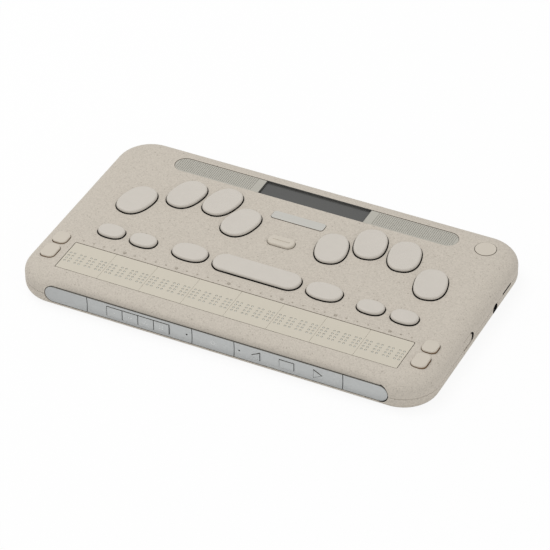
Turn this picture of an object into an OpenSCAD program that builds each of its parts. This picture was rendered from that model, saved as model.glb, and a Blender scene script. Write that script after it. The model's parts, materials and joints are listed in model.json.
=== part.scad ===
// Braille notetaker: a flat case with braille input keys, a refreshable braille line and a front key strip.
// X runs along the braille line, Y to the back and Z up. The origin is the middle of the footprint.

/* [Case] */
// Height of the case without its feet
body_h = 18; // [17:0.5:22]
// Plan radius of the case corners
corner_r = 21; // [16:1:24]
// How far the rolled top edge reaches inwards
roll_in = 12; // [8:0.5:13]
// How far the rolled top edge drops
roll_drop = 8; // [5:0.5:8.5]
// How far the bottom edge is drawn in
base_in = 3.6; // [2:0.2:5]
// Height of the drawn-in bottom edge
base_rise = 5; // [3:0.2:5.6]
// Height of the seam between the two shells above the case bottom
seam_h = 7.6; // [7.6:0.1:9]
// Height of the groove along the seam
seam_line = 0.25; // [0.1:0.05:0.4]
// Wall of both shells
wall = 2; // [1.6:0.1:2.4]
// Floor of the bottom shell
floor_t = 1.8; // [1.4:0.1:2.2]
// Height of the rubber feet below the case
foot_h = 0.8; // [0.5:0.1:2]
// Radius of the rubber feet
foot_r = 6; // [4:0.5:8]
// Distance of the feet from the case sides
foot_edge = 22; // [20:1:30]

/* [Braille line] */
// Number of braille cells
cells = 32; // [28:4:36]
// Cells in each cap module
cells_per_cap = 4; // [4]
// Distance between cell centres
cell_pitch = 6.42; // [6.2:0.02:6.6]
// Distance between dots in a cell
dot_pitch = 2.5; // [2.3:0.05:2.6]
// Radius of a braille pin
pin_r = 0.65; // [0.5:0.05:0.75]
// Radial clearance of a pin in its hole
pin_clearance = 0.05; // [0.03:0.01:0.1]
// How far the pins stand out when lowered
pin_rest = 0.1; // [0:0.05:0.2]
// How far the pins rise
pin_travel = 0.7; // [0.5:0.05:0.75]
// Depth of the cap modules, front to back
cap_d = 23.8; // [22:0.2:26]
// Thickness of the cap modules
cap_t = 3; // [2.4:0.1:3.4]
// Gap around the cap modules
cap_gap = 0.3; // [0.1:0.05:0.4]
// Distance of the dot rows' middle in front of the cap middle
rows_forward = 1.1; // [0:0.1:2]
// Length of the flat piezo cells, front to back
cell_len = 72; // [66:1:74]

/* [Keys on top] */
// Gap around the input, space and function keys
key_gap = 0.7; // [0.5:0.05:0.8]
// Gap around the home, scroll and power keys
small_gap = 0.3; // [0.2:0.05:0.4]
// Height of the input and function keys above the case
key_raise = 2; // [1.2:0.1:3]
// Height of the home key above the case
home_raise = 1.5; // [1:0.1:2.5]
// Height of the scroll keys above the case
scroll_raise = 1.2; // [0.6:0.1:2]
// Height of the power key above the case
power_raise = 0.3; // [0.1:0.1:1]
// Travel of a key
key_travel = 1.2; // [0.6:0.1:1.4]
// Radius of the rolled key edge
key_roll = 1.2; // [0.6:0.1:1.6]
// Width of an input key
dot_w = 18.3; // [17:0.1:19]
// Length of an input key
dot_l = 26.3; // [24:0.1:28]
// Turn of the input keys towards the middle
dot_turn = 13; // [6:1:15]
// Depth of the dish in an input key
dish = 0.5; // [0.2:0.1:0.8]
// Width of the space key
space_w = 52.5; // [47:0.5:56]
// Depth of the space key
space_d = 14.4; // [13:0.1:16]
// Width of the control and alternate keys
ctrl_w = 20.6; // [19:0.1:22.5]
// Depth of the control and alternate keys
ctrl_d = 14.1; // [12.5:0.1:14.4]
// Width of a function key
f_w = 15.6; // [14:0.1:17]
// Depth of a function key
f_d = 11.2; // [9.5:0.1:12.5]
// Width of the home key
home_w = 16; // [14:0.1:18]
// Depth of the home key
home_d = 8.5; // [8:0.1:10]
// Width of the scroll keys
scroll_w = 8.7; // [8:0.1:9.4]
// Depth of the rear scroll key
scroll_up_d = 10.2; // [9:0.2:11]
// Depth of the front scroll key
scroll_down_d = 12; // [11:0.2:12.4]
// Radius of the power key
power_r = 6; // [5:0.1:6.4]
// Radius of a key stem
stem_r = 1.6; // [1.2:0.1:2]
// Radial clearance of a stem in its guide
stem_clearance = 0.05; // [0.03:0.01:0.1]

/* [Key spacing] */
// Case front edge to the braille line
front_margin = 12.4; // [12:0.2:16]
// Braille line to the function row
row_gap = 11.2; // [10:0.2:14]
// Function row to the outermost input key
finger_gap = 10.2; // [9.6:0.2:13]
// Steps of the four input keys of one hand towards the back, from the index finger outwards
finger_steps = [6.1, 18.9, 16.8, 0]; // [0:0.1:22]
// Input keys to the grille and display strip
pill_gap = 4.6; // [3.6:0.2:8]
// Grille and display strip to the case back edge
back_margin = 11.4; // [10.5:0.2:16]
// Middle line to the first input key
thumb_clear = 18.8; // [18:0.1:20]
// Overlap in width of the first and second input keys
index_overlap = 0.5; // [0:0.1:0.8]
// Space between the second and third input keys
finger_space = 3.2; // [3:0.1:4.5]
// Space between the third and fourth input keys
little_space = 4.8; // [3.5:0.1:6]
// Space key to the control key
ctrl_space = 4.4; // [4.2:0.1:5.5]
// Control key to the function keys
f_clear = 10.2; // [8:0.1:11.5]
// Space between the function keys
f_space = 4.4; // [4.2:0.1:6]
// Braille line to the scroll keys
scroll_clear = 4.8; // [4.6:0.1:6]
// Scroll keys to the case side
side_margin = 7.78; // [7:0.02:10]
// Space between the two scroll keys of a pair
scroll_space = 1.8; // [1.8:0.1:2.4]
// Step of the scroll pair behind the front edge of the braille line
scroll_step = 5; // [3:0.1:6]
// Function row to the home key
home_clear = 19.1; // [17:0.1:24]
// Home key to the name plate
plate_clear = 14.6; // [12:0.2:15]
// Power key behind the middle of the grille and display strip
power_step = 0.35; // [-1:0.05:1]
// Strip end to the middle of the power key
power_clear = 16.4; // [16:0.1:17]
// Power key to the case side
power_margin = 13.6; // [13:0.1:18]

/* [Display strip and name plate] */
// Width of the grille and display strip
pill_w = 176; // [170:1:178]
// Depth of the grille and display strip
pill_d = 12.9; // [11:0.1:14]
// Depth of the recess for the grilles
pill_sink = 1.4; // [1:0.1:1.6]
// Width of the display window
window_w = 65.2; // [50:0.2:80]
// Width of the ledge below the edge of the window
window_ledge = 1.1; // [0.9:0.1:1.5]
// How far the window lies below the grilles
window_sink = 1; // [0.4:0.1:1.2]
// Plain land between the window and the grille slots
land = 4.7; // [3:0.1:8]
// Width of a sound slot
slot_w = 0.5; // [0.3:0.05:0.6]
// Distance between sound slots
slot_pitch = 1.2; // [1:0.05:2]
// Width of the name plate
plate_w = 32; // [24:0.5:36]
// Depth of the name plate
plate_d = 6.6; // [5:0.1:8]
// Thickness of the name plate
plate_t = 0.8; // [0.6:0.1:1]
// Depth of the seat of the name plate
plate_sink = 0.5; // [0.3:0.1:0.6]

/* [Front strip] */
// Width of the front strip
panel_w = 206; // [203:1:208]
// Height of the front strip
panel_h = 9.7; // [9.4:0.1:10.2]
// Height of the middle of the front strip above the case bottom
panel_mid = 8.15; // [8:0.05:8.5]
// How far the front strip lies behind the case front
panel_sink = 0.5; // [0.4:0.1:0.8]
// Gap around the front strip
panel_gap = 0.4; // [0.3:0.05:0.5]
// Thickness of the strip's face
panel_t = 1.8; // [1.4:0.1:2]
// Half width of the finger dish at each border of the strip's keys
thumb_half = 5.2; // [4:0.1:6]
// Depth of the finger dishes
thumb_dish = 0.45; // [0.2:0.05:0.6]
// Half width of the middle key
record_half = 12.6; // [10:0.1:13]
// Middle of the strip to the inner end of the end keys
end_from = 77; // [75:0.5:85]
// Gap around the keys of the strip
strip_gap = 0.3; // [0.15:0.05:0.35]
// Travel of the keys of the strip
strip_travel = 0.5; // [0.3:0.05:0.6]
// How far the small keys stand out of the strip
strip_raise = 0.3; // [0.1:0.05:0.35]
// Width of the small keys
app_w = 9.3; // [8:0.1:9.6]
// Height of the small keys
app_h = 6.2; // [5:0.1:7]
// Middle of the strip to the middle of the small key group
app_from = 45.4; // [44:0.1:47]
// Width of the middle media key
media_w = 8.4; // [7.4:0.1:9]
// Height of the media keys
media_h = 4.8; // [4.4:0.1:5.6]
// Width of a triangular media key
arrow_w = 4.6; // [4.4:0.1:6]
// Middle of the strip to the middle media key
media_from = 44.1; // [44:0.1:46]
// Distance of the media keys from each other
media_pitch = 17.5; // [14:0.5:18.5]
// Radius of a microphone hole
mic_r = 0.5; // [0.3:0.1:0.8]
// Middle of the strip to a microphone hole
mic_from = 15.8; // [15.6:0.1:17]

/* [Ports] */
// Radius of the headphone socket
jack_r = 1.8; // [1.75:0.05:2]
// Radius of the collar of the headphone socket
jack_nose_r = 2.7; // [2.5:0.1:2.8]
// Headphone socket behind the front edge of the main board
jack_step = 9.05; // [4:0.05:11]
// Charging port in front of the case middle
usb_front = 13.5; // [11:0.1:18]
// Width of the charging port
usb_w = 9; // [8.6:0.1:9.4]
// Height of the charging port
usb_h = 3.2; // [3:0.1:3.4]
// Width of the recess of the port cover
recess_w = 14.4; // [13:0.1:17]
// Height of the recess of the port cover
recess_h = 5.9; // [5:0.1:6.4]
// Depth of the recess of the port cover
recess_depth = 1.3; // [1.2:0.1:1.4]
// Thickness of the port cover
cover_t = 0.8; // [0.6:0.1:0.9]
// Width of the nail notch behind the port cover
nail = 1.3; // [0.8:0.1:1.8]
// Card slot behind the headphone socket
card_step = 16.2; // [14.4:0.2:17.2]
// Width of the card slot
card_w = 11.4; // [11.2:0.1:12]
// Height of the card slot
card_h = 1.2; // [1:0.1:1.4]

/* [Inside] */
// Thickness of every circuit board
board_t = 1.2; // [1:0.1:1.4]
// Height of a key switch
switch_h = 3.4; // [3:0.1:3.6]
// Width of a key switch
switch_w = 6.5; // [5.5:0.1:7]
// Thickness of a key flange
flange_t = 1; // [0.8:0.1:1.2]
// Reach of a key flange under the shell
flange_lip = 1.5; // [1.3:0.1:1.6]
// Reach of a scroll key's flange under the shell
scroll_lip = 0.75; // [0.7:0.05:0.8]
// Gap between pieces that rest close to each other
seat_gap = 0.3; // [0.2:0.05:0.35]
// Radius of a case screw's shank
screw_r = 1.2; // [1:0.1:1.3]
// Radius of a case screw's head
screw_head_r = 2.2; // [2:0.1:2.4]
// Radius of a screw tower
tower_r = 3.2; // [3:0.1:3.3]
// Radius of a board screw's shank
board_screw_r = 0.9; // [0.7:0.1:1]
// Battery width
battery_w = 84; // [60:1:90]
// Battery depth
battery_d = 40; // [30:1:44]
// Battery thickness
battery_h = 5; // [4:0.1:5.2]
// Speaker width
speaker_w = 36; // [28:1:40]
// Speaker depth
speaker_d = 11; // [9:0.5:12]
// Speaker height
speaker_h = 4; // [3:0.1:5]

/* [Hidden] */
$fn = 48;
edge_steps = 12;
key_edge_steps = 4;
cut = 1;

case_color = [0.78, 0.75, 0.70];
key_color = [0.81, 0.78, 0.75];
cap_color = [0.81, 0.78, 0.70];
strip_color = [0.69, 0.70, 0.70];
board_color = [0.13, 0.35, 0.22];
dark_color = [0.15, 0.15, 0.16];
steel_color = [0.70, 0.71, 0.72];

// Heights
z_bottom = foot_h;
z_seam = z_bottom + seam_h;
z_top = z_bottom + body_h;
z_floor = z_bottom + floor_t;
z_under = z_top - wall;
flange_top = z_under - seat_gap;
flange_bottom = flange_top - flange_t;
switch_top = flange_bottom - key_travel - seat_gap;
key_board_top = switch_top - switch_h;
key_board_bottom = key_board_top - board_t;
stem_tip = key_board_top + key_travel + seat_gap;
low_board_top = z_floor + board_t;
cap_bottom = z_top - cap_t;

// The case follows from what it holds
finger_reach = max(finger_steps);
body_d = front_margin + cap_d + row_gap + space_d + finger_gap + dot_l + finger_reach
    + pill_gap + pill_d + back_margin;
strip_w = cells * cell_pitch;
body_w = 2 * max(strip_w / 2 + scroll_clear + scroll_w + side_margin,
    pill_w / 2 + power_clear + power_r + power_margin);
y_front = -body_d / 2;
y_back = body_d / 2;
x_side = body_w / 2;

// Places along Y
strip_front = y_front + front_margin;
strip_y = strip_front + cap_d / 2;
strip_back = strip_front + cap_d;
row_front = strip_back + row_gap;
row_back = row_front + space_d;
dot_y0 = row_back + finger_gap + dot_l / 2;
pill_y = y_back - back_margin - pill_d / 2;
home_y = row_back + home_clear + home_d / 2;
plate_y = home_y + home_d / 2 + plate_clear + plate_d / 2;
power_y = pill_y + power_step;
scroll_down_y = strip_front + scroll_step + scroll_down_d / 2;
scroll_up_y = scroll_down_y + (scroll_down_d + scroll_up_d) / 2 + scroll_space;
rows_y = strip_y - rows_forward;

// Places along X
dot_x1 = thumb_clear + dot_w / 2;
dot_x2 = dot_x1 + dot_w - index_overlap;
dot_x3 = dot_x2 + dot_w + finger_space;
dot_x4 = dot_x3 + dot_w + little_space;
finger_x = [dot_x1, dot_x2, dot_x3, dot_x4];
ctrl_x = space_w / 2 + ctrl_space + ctrl_w / 2;
f_in_x = ctrl_x + ctrl_w / 2 + f_clear + f_w / 2;
f_out_x = f_in_x + f_w + f_space;
scroll_x = strip_w / 2 + scroll_clear + scroll_w / 2;
power_x = pill_w / 2 + power_clear;

// Input keys in braille order: dots 1, 2, 3 and 7 lie left of the middle, 4, 5, 6 and 8 right of it
dot_side = [-1, -1, -1, 1, 1, 1, -1, 1];
dot_finger = [0, 1, 2, 0, 1, 2, 3, 3];

// Key records: middle, size, corner radius, height above the case, turn, flange reach in X and Y, gap
end_flat = 0.4;
function round_r(w, d) = min(w, d) / 2 - end_flat;
function dot_key_data(i) = let (k = dot_finger[i], s = dot_side[i])
    [[s * finger_x[k], dot_y0 + finger_steps[k]], [dot_w, dot_l], round_r(dot_w, dot_l), key_raise,
     s * dot_turn, [0, flange_lip], key_gap];
function row_key(x, w, d) =
    [[x, row_front + d / 2], [w, d], round_r(w, d), key_raise, 0, [flange_lip, 0], key_gap];
space_data = row_key(0, space_w, space_d);
ctrl_data = row_key(-ctrl_x, ctrl_w, ctrl_d);
alt_data = row_key(ctrl_x, ctrl_w, ctrl_d);
function f_data(i) = row_key([-f_out_x, -f_in_x, f_in_x, f_out_x][i - 1], f_w, f_d);
home_data = [[0, home_y], [home_w, home_d], round_r(home_w, home_d), home_raise, 0, [flange_lip, 0],
    small_gap];
scroll_r = 3.4;
function scroll_data(s, y, d) =
    [[s * scroll_x, y], [scroll_w, d], scroll_r, scroll_raise, 0, [0, scroll_lip], small_gap];
scroll_up_left_data = scroll_data(-1, scroll_up_y, scroll_up_d);
scroll_down_left_data = scroll_data(-1, scroll_down_y, scroll_down_d);
scroll_up_right_data = scroll_data(1, scroll_up_y, scroll_up_d);
scroll_down_right_data = scroll_data(1, scroll_down_y, scroll_down_d);
power_data = [[power_x, power_y], [2 * power_r, 2 * power_r], power_r, power_raise, 0,
    [flange_lip, flange_lip], small_gap];
edge_keys = [scroll_up_left_data, scroll_down_left_data, scroll_up_right_data, scroll_down_right_data,
    power_data];
top_keys = concat([for (i = [0:7]) dot_key_data(i)], [for (i = [1:4]) f_data(i)], edge_keys,
    [space_data, ctrl_data, alt_data, home_data]);
space_stem = space_w / 3;
function stems(k) = k[1][0] > 2 * ctrl_w ? [[-space_stem, 0], [space_stem, 0]] : [[0, 0]];

// Front strip, from the face inwards
panel_z = z_bottom + panel_mid;
panel_y = y_front + panel_sink;
face_back = panel_y + panel_t;
key_room = 2;
carrier_front = face_back + key_room;
carrier_back = carrier_front + board_t;
head_t = 0.6;
head_front = carrier_back + seat_gap;
head_back = head_front + head_t;
strip_switch_y = head_back + strip_travel + strip_gap;
strip_switch_t = 0.7;
front_board_y = strip_switch_y + strip_switch_t;
carrier_margin = 0.5;
strip_stem_r = 1;
strip_head_r = 1.6;
end_to = panel_w / 2;
end_stem_edge = 7;
rib_t = 1.6;
app_pitch = app_w + strip_gap;
function app_x(i) = -app_from + (i - 2.5) * app_pitch;
function media_x(i) = media_from + (i - 2) * media_pitch;
end_stems = [end_from + end_stem_edge, end_to - end_stem_edge];
record_stem = record_half / 2;
thumb_r = (thumb_half * thumb_half + thumb_dish * thumb_dish) / (2 * thumb_dish);
strip_stems = concat([for (s = [-1, 1], x = end_stems) s * x], [-record_stem, record_stem],
    [for (i = [1:4]) app_x(i)], [for (i = [1:3]) media_x(i)]);

// Screws: towers at the case corners, sides and back, board posts between the keys
corner_tower = [14, 10.6];
back_tower = [12, 9.8];
side_tower_x = 10;
side_tower_y = 44;
rear_tower_y = 5.6;
towers = concat([for (s = [-1, 1]) [s * (x_side - corner_tower[0]), y_front + corner_tower[1]]],
    [for (s = [-1, 1]) [s * (x_side - back_tower[0]), y_back - back_tower[1]]],
    [for (s = [-1, 1]) [s * (x_side - side_tower_x), strip_back + side_tower_y]],
    [[0, y_back - rear_tower_y]]);
head_sink = 0.4;
hex = 6;
seam_depth = 0.4;
head_h = 1.6;
screw_clearance = 0.15;
thread_clearance = 0.05;
screw_grip = 5;
screw_top = z_seam + screw_grip;
post_r = 2.4;
post_space = 7;
post_reach = 10;
post_y = row_back + finger_gap / 2;
mid_post_y = (home_y + plate_y) / 2;
post_x = [space_w / 2 - post_space, f_in_x - post_reach, f_out_x + post_reach];
posts = concat([for (s = [-1, 1], x = post_x) [s * x, post_y]],
    [for (s = [-1, 1]) [s * (thumb_clear - post_space), mid_post_y]]);
post_head_r = 1.8;
post_head_h = 1.2;
post_depth = 3;
foot_seat = 0.6;
foot_places = [for (sx = [-1, 1], sy = [-1, 1]) [sx * (x_side - foot_edge), sy * (y_back - foot_edge)]];

// Boards
board_edge = 7;
board_x = x_side - board_edge;
board_back = dot_y0 + finger_reach + dot_l / 2 + flange_lip;
board_gap = 0.4;
wing_clear = 2.6;
wing_in = strip_w / 2 + wing_clear;
wing_front = scroll_down_y - scroll_down_d / 2 - scroll_lip - board_gap;
tab_edge = 4;
low_board_space = 3;
low_board_split = strip_front + cell_len + low_board_space;
main_over = 10;
main_margin = 17;
main_back = y_back - main_margin;
battery_space = 3;
battery_r = 3;
battery_y = low_board_split + battery_d / 2 + board_gap;
stack_x = 60;
stack_w = 24;
stack_d = 5;
stack_y = low_board_split + 3 * stack_d;
bridge_reach = 1.6;
bridge_h = 1.5;

// Braille line
caps = cells / cells_per_cap;
cap_seam = 0.12;
pin_foot_r = 0.95;
pin_foot_t = 0.3;
pin_stop_gap = 0.05;
pin_foot_z = cap_bottom - pin_travel - pin_stop_gap - pin_foot_t;
trough_z = pin_foot_z - seat_gap;
trough_half = 1.5 * dot_pitch + 2 * pin_foot_r;
trough_from = rows_y - trough_half;
trough_to = rows_y + trough_half;
head_to = strip_back - board_gap;
cell_back = strip_front + cell_len;
cell_top = key_board_bottom - post_head_h - seat_gap;
function cell_x(i) = (i - (cells + 1) / 2) * cell_pitch;
function row_y(r) = rows_y + (2.5 - r) * dot_pitch;

// Ports on the right side
jack_y = low_board_split + board_gap + jack_step;
jack_rise = 2.4;
jack_z = low_board_top + jack_rise;
jack_len = 12;
jack_wall = 0.8;
jack_neck_r = jack_r + jack_wall / 2;
jack_nose_len = 2;
jack_sink = 1.2;
jack_end = x_side - jack_sink;
jack_body_w = 6.4;
usb_y = -usb_front;
usb_z = (key_board_top + key_board_bottom) / 2;
usb_sink = 0.6;
usb_end = x_side - recess_depth - usb_sink;
usb_len = 9;
usb_shell = 0.3;
usb_back = 1.5;
usb_tongue = 0.7;
usb_tab = 1.6;
cover_seat = 0.1;
cover_face = x_side - recess_depth + cover_seat + cover_t;
card_y = jack_y + card_step;
card_end = x_side - wall - board_gap;
card_len = 13;
card_body_h = 1.8;
card_wall = 0.8;
card_z = key_board_bottom - card_body_h / 2;
pinhole_r = 0.45;
pinhole_step = 5.9;
pinhole_drop = 2.2;
mic_body_r = 1.8;

// Display strip and name plate
pad_t = 1.6;
pad_margin = 1.6;
pad_bottom = z_top - pill_sink - pad_t;
pill_flat = 0.2;
grille_gap = 0.25;
grille_sink = 0.2;
window_r = 1;
window_t = 0.9;
window_top = z_top - grille_sink - window_sink;
display_w = window_w - 2 * window_ledge;
display_d = pill_d - 2 * window_ledge;
module_h = 2.6;
module_margin = 1.4;
slot_margin = 0.5;
slots = floor((pill_w / 2 - window_w / 2 - land - slot_margin) / slot_pitch);
pill_end_r = pill_d / 2 - grille_gap - pill_flat;
pill_end_x = pill_w / 2 - grille_gap - pill_end_r;
function slot_x(i) = window_w / 2 + land + (i - 0.5) * slot_pitch;
function slot_half(x) = let (over = max(0, x - pill_end_x))
    sqrt(pill_end_r * pill_end_r - over * over) - slot_margin;
sound_rim = 1.6;
speaker_x = (window_w / 2 + land + pill_w / 2) / 2;
plate_r = 2;

// Finish of the keys
dish_half = dot_w / 2 - key_roll - 0.5;
dish_r = (dish_half * dish_half + dish * dish) / (2 * dish);
home_line = 10;
home_line_w = 0.6;
home_line_h = 0.25;
tongue_r = 1;

// Tactile marks behind the braille line
mark_step = 3.2;
mark_y = strip_back + mark_step;
mark_r = 0.4;
mark_five = 5;
mark_five_r = 0.9;
mark_h = 0.3;

// Edge of a slab from bottom to top as pairs of inset and height
function edge_line(z0, z1, top_in, top_drop, low_in, low_rise, n) = concat(
    low_in > 0 ? [for (i = [0:n]) let (t = 90 * i / n) [low_in * (1 - sin(t)), z0 + low_rise * (1 - cos(t))]]
        : [[0, z0]],
    top_in > 0 ? [for (i = [0:n]) let (t = 90 * i / n) [top_in * (1 - cos(t)), z1 - top_drop * (1 - sin(t))]]
        : [[0, z1]]);

// Section across a slab of half width h
module slab_section(h, line) {
    right = [for (p = line) [h - p[0], p[1]]];
    n = len(line);
    left = [for (i = [n - 1:-1:0]) [line[i][0] - h, line[i][1]]];
    polygon(concat(right, left));
}

// Solid with a rounded rectangular plan whose top and bottom edges can be rolled in
module slab(w, d, r, z0, z1, top_in = 0, top_drop = 0, low_in = 0, low_rise = 0, n = key_edge_steps) {
    line = edge_line(z0, z1, top_in, top_drop, low_in, low_rise, n);
    long = w - 2 * r;
    deep = d - 2 * r;
    if (long > 0) rotate([90, 0, 90]) linear_extrude(long, center = true) slab_section(d / 2, line);
    if (deep > 0) rotate([90, 0, 0]) linear_extrude(deep, center = true) slab_section(w / 2, line);
    for (a = [0:3]) {
        sx = a == 0 || a == 3 ? 1 : -1;
        sy = a < 2 ? 1 : -1;
        translate([sx * long / 2, sy * deep / 2, 0]) rotate(90 * a) rotate_extrude(angle = 90)
            polygon(concat([[0, z0]], [for (p = line) [r - p[0], p[1]]], [[0, z1]]));
    }
}

// Straight bodies between two places along Y or X from a flat shape
module along_y(y0, y1) {
    translate([0, y1, 0]) rotate([90, 0, 0]) linear_extrude(y1 - y0) children();
}

module along_x(x0, x1) {
    translate([x0, 0, 0]) rotate([90, 0, 90]) linear_extrude(x1 - x0) children();
}

module stadium(w, h) {
    square([w - h, h], center = true);
    for (s = [-1, 1]) translate([s * (w - h) / 2, 0]) circle(h / 2);
}

module box(x0, x1, y0, y1, z0, z1) {
    translate([x0, y0, z0]) cube([x1 - x0, y1 - y0, z1 - z0]);
}

module at_each(places) {
    for (p = places) translate([p[0], p[1], 0]) children();
}

module at_key(k) {
    translate([k[0][0], k[0][1], 0]) rotate(k[4]) children();
}

// Outline of the whole case, shrunk by t for its inside
module case_body(t, z0, z1) {
    slab(body_w - 2 * t, body_d - 2 * t, corner_r - t, z0, z1,
        roll_in, roll_drop, base_in, base_rise, edge_steps);
}

module case_inside() {
    case_body(wall, z_floor, z_under);
}

module case_shell() {
    difference() {
        case_body(0, z_bottom, z_top);
        case_inside();
    }
}

module layer(z0, z1) {
    translate([0, 0, (z0 + z1) / 2]) cube([2 * body_w, 2 * body_d, z1 - z0], center = true);
}

// Openings that both shells share
module side_openings() {
    along_y(y_front - cut, carrier_back + seat_gap) translate([0, panel_z])
        stadium(panel_w + 2 * panel_gap, panel_h + 2 * panel_gap);
    translate([jack_end - jack_len, jack_y, jack_z]) rotate([0, 90, 0])
        cylinder(h = jack_len + wall + cut, r = jack_nose_r + strip_gap);
    along_x(x_side - recess_depth, x_side + cut) translate([usb_y, usb_z]) stadium(recess_w, recess_h);
    along_x(x_side - wall - cut, x_side) translate([usb_y + (recess_w - recess_h) / 2, usb_z])
        circle(recess_h / 2 - strip_gap);
    along_x(usb_end - usb_len, x_side) translate([usb_y, usb_z])
        stadium(usb_w + 2 * strip_gap, usb_h + 2 * strip_gap);
    box(x_side - wall - cut, x_side + cut, card_y - card_w / 2, card_y + card_w / 2,
        card_z - card_h / 2, card_z + card_h / 2);
    translate([x_side - wall - cut, usb_y - pinhole_step, z_seam - pinhole_drop]) rotate([0, 90, 0])
        cylinder(h = wall + 2 * cut, r = pinhole_r);
}

// Openings in the roof of the case
module key_plan(k, grow, z0, z1, roll = 0) {
    slab(k[1][0] + 2 * grow, k[1][1] + 2 * grow, k[2] + grow, z0, z1, roll, roll);
}

module key_opening(k) {
    at_key(k) key_plan(k, k[6], z_under - cut, z_top + cut);
}

// Room for the flange of a key near the rolled edge
module edge_pocket(k) {
    lip = k[5] + [k[6], k[6]];
    at_key(k) slab(k[1][0] + 2 * lip[0], k[1][1] + 2 * lip[1], k[2] + lip[0], z_seam + cut, z_under);
}

module pill_openings() {
    slab(pill_w, pill_d, pill_d / 2 - pill_flat, z_top - pill_sink, z_top + cut);
    box(-window_w / 2, window_w / 2, -pill_d / 2, pill_d / 2, window_top - window_t, z_top);
    slab(display_w, display_d, window_r, pad_bottom - cut, z_top);
    for (s = [-1, 1]) translate([s * speaker_x, 0, 0])
        slab(speaker_w - 2 * sound_rim, speaker_d - 2 * sound_rim, window_r, pad_bottom - cut, z_top);
}

module roof_openings() {
    for (k = top_keys) key_opening(k);
    for (k = edge_keys) edge_pocket(k);
    translate([0, strip_y, 0])
        slab(strip_w + 2 * cap_gap, cap_d + 2 * cap_gap, 2 * cap_gap, z_seam + cut, z_top + cut);
    translate([0, pill_y, 0]) pill_openings();
    translate([0, plate_y, 0])
        slab(plate_w + 2 * grille_gap, plate_d + 2 * grille_gap, plate_r, z_top - plate_sink, z_top + cut);
}

module roof_marks() {
    for (i = [1:cells]) translate([cell_x(i), mark_y, z_top - mark_h])
        cylinder(h = 2 * mark_h, r = i % mark_five == 0 ? mark_five_r : mark_r);
}

// Towers, board posts and the seat of the grilles, trimmed to the case
module roof_supports() {
    intersection() {
        case_body(wall / 2, z_bottom, z_top - wall / 2);
        union() {
            at_each(towers) translate([0, 0, z_seam]) cylinder(h = z_top - z_seam, r = tower_r);
            at_each(posts) translate([0, 0, key_board_top]) cylinder(h = z_top - key_board_top, r = post_r);
            translate([0, pill_y, 0])
                slab(pill_w + 2 * pad_margin, pill_d + 2 * pad_margin, pill_d / 2,
                    pad_bottom, z_top - wall / 2);
        }
    }
}

module top_shell() color(case_color) difference() {
    union() {
        intersection() {
            case_shell();
            layer(z_seam, z_top + cut);
        }
        roof_supports();
        roof_marks();
    }
    roof_openings();
    at_each(towers) translate([0, 0, z_seam - cut])
        cylinder(h = screw_top + seat_gap - z_seam + cut, r = screw_r + thread_clearance);
    at_each(posts) translate([0, 0, key_board_top - cut])
        cylinder(h = post_depth + seat_gap + cut, r = board_screw_r + thread_clearance);
    side_openings();
}

// Shadow line along the seam
module seam_groove() {
    difference() {
        layer(z_seam - seam_line, z_seam + cut);
        case_body(seam_depth, z_bottom, z_top);
    }
}

module bottom_shell() color(case_color) difference() {
    union() {
        intersection() {
            case_shell();
            layer(z_bottom - cut, z_seam);
        }
        intersection() {
            case_body(wall / 2, z_bottom + wall / 2, z_top);
            at_each(towers) translate([0, 0, z_bottom]) cylinder(h = z_seam - z_bottom, r = tower_r);
        }
    }
    at_each(towers) {
        translate([0, 0, z_bottom - cut])
            cylinder(h = z_seam - z_bottom + 2 * cut, r = screw_r + screw_clearance);
        translate([0, 0, z_bottom - cut])
            cylinder(h = head_sink + head_h + cut, r = screw_head_r + screw_clearance);
    }
    at_each(foot_places) translate([0, 0, z_bottom - cut])
        cylinder(h = cut + foot_seat, r = foot_r + grille_gap);
    seam_groove();
    side_openings();
}

// Front strip: two fixed faces on ribs, joined by the carrier that guides the key stems
module strip_stem_holes() {
    for (x = strip_stems) translate([x, carrier_front - cut, panel_z]) rotate([-90, 0, 0])
        cylinder(h = board_t + 2 * cut, r = strip_stem_r + stem_clearance);
}

module finger_dishes() {
    for (s = [-1, 1], x = [record_half, end_from]) translate([s * x, panel_y + thumb_dish - thumb_r, panel_z])
        sphere(thumb_r);
}

module fixed_face(s) {
    x0 = record_half + strip_gap;
    x1 = end_from - strip_gap;
    mid = s * (x0 + x1) / 2;
    along_y(panel_y, face_back) translate([mid, panel_z]) square([x1 - x0, panel_h], center = true);
    for (x = [x0 + rib_t / 2, x1 - rib_t / 2]) along_y(face_back, carrier_front) translate([s * x, panel_z])
        square([rib_t, panel_h - 2 * carrier_margin], center = true);
}

module front_panel() color(strip_color) difference() {
    union() {
        for (s = [-1, 1]) fixed_face(s);
        along_y(carrier_front, carrier_back) translate([0, panel_z])
            stadium(panel_w - 2 * carrier_margin, panel_h - 2 * carrier_margin);
    }
    along_y(panel_y - cut, face_back + cut) translate([-app_from, panel_z])
        square([4 * app_pitch + strip_gap, app_h + 2 * strip_gap], center = true);
    for (i = [1:3]) along_y(panel_y - cut, face_back + cut) translate([media_x(i), panel_z])
        media_shape(i, strip_gap);
    for (s = [-1, 1]) translate([s * mic_from, panel_y - cut, panel_z]) rotate([-90, 0, 0])
        cylinder(h = carrier_back - panel_y + 2 * cut, r = mic_r);
    strip_stem_holes();
    finger_dishes();
}

// Stems of a strip key with heads that hold it behind the carrier
module strip_stems_at(places) {
    for (x = places) translate([x, face_back - cut / 2, panel_z]) rotate([-90, 0, 0]) {
        cylinder(h = head_back - face_back + cut / 2, r = strip_stem_r);
        translate([0, 0, head_front - face_back + cut / 2]) cylinder(h = head_t, r = strip_head_r);
    }
}

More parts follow.
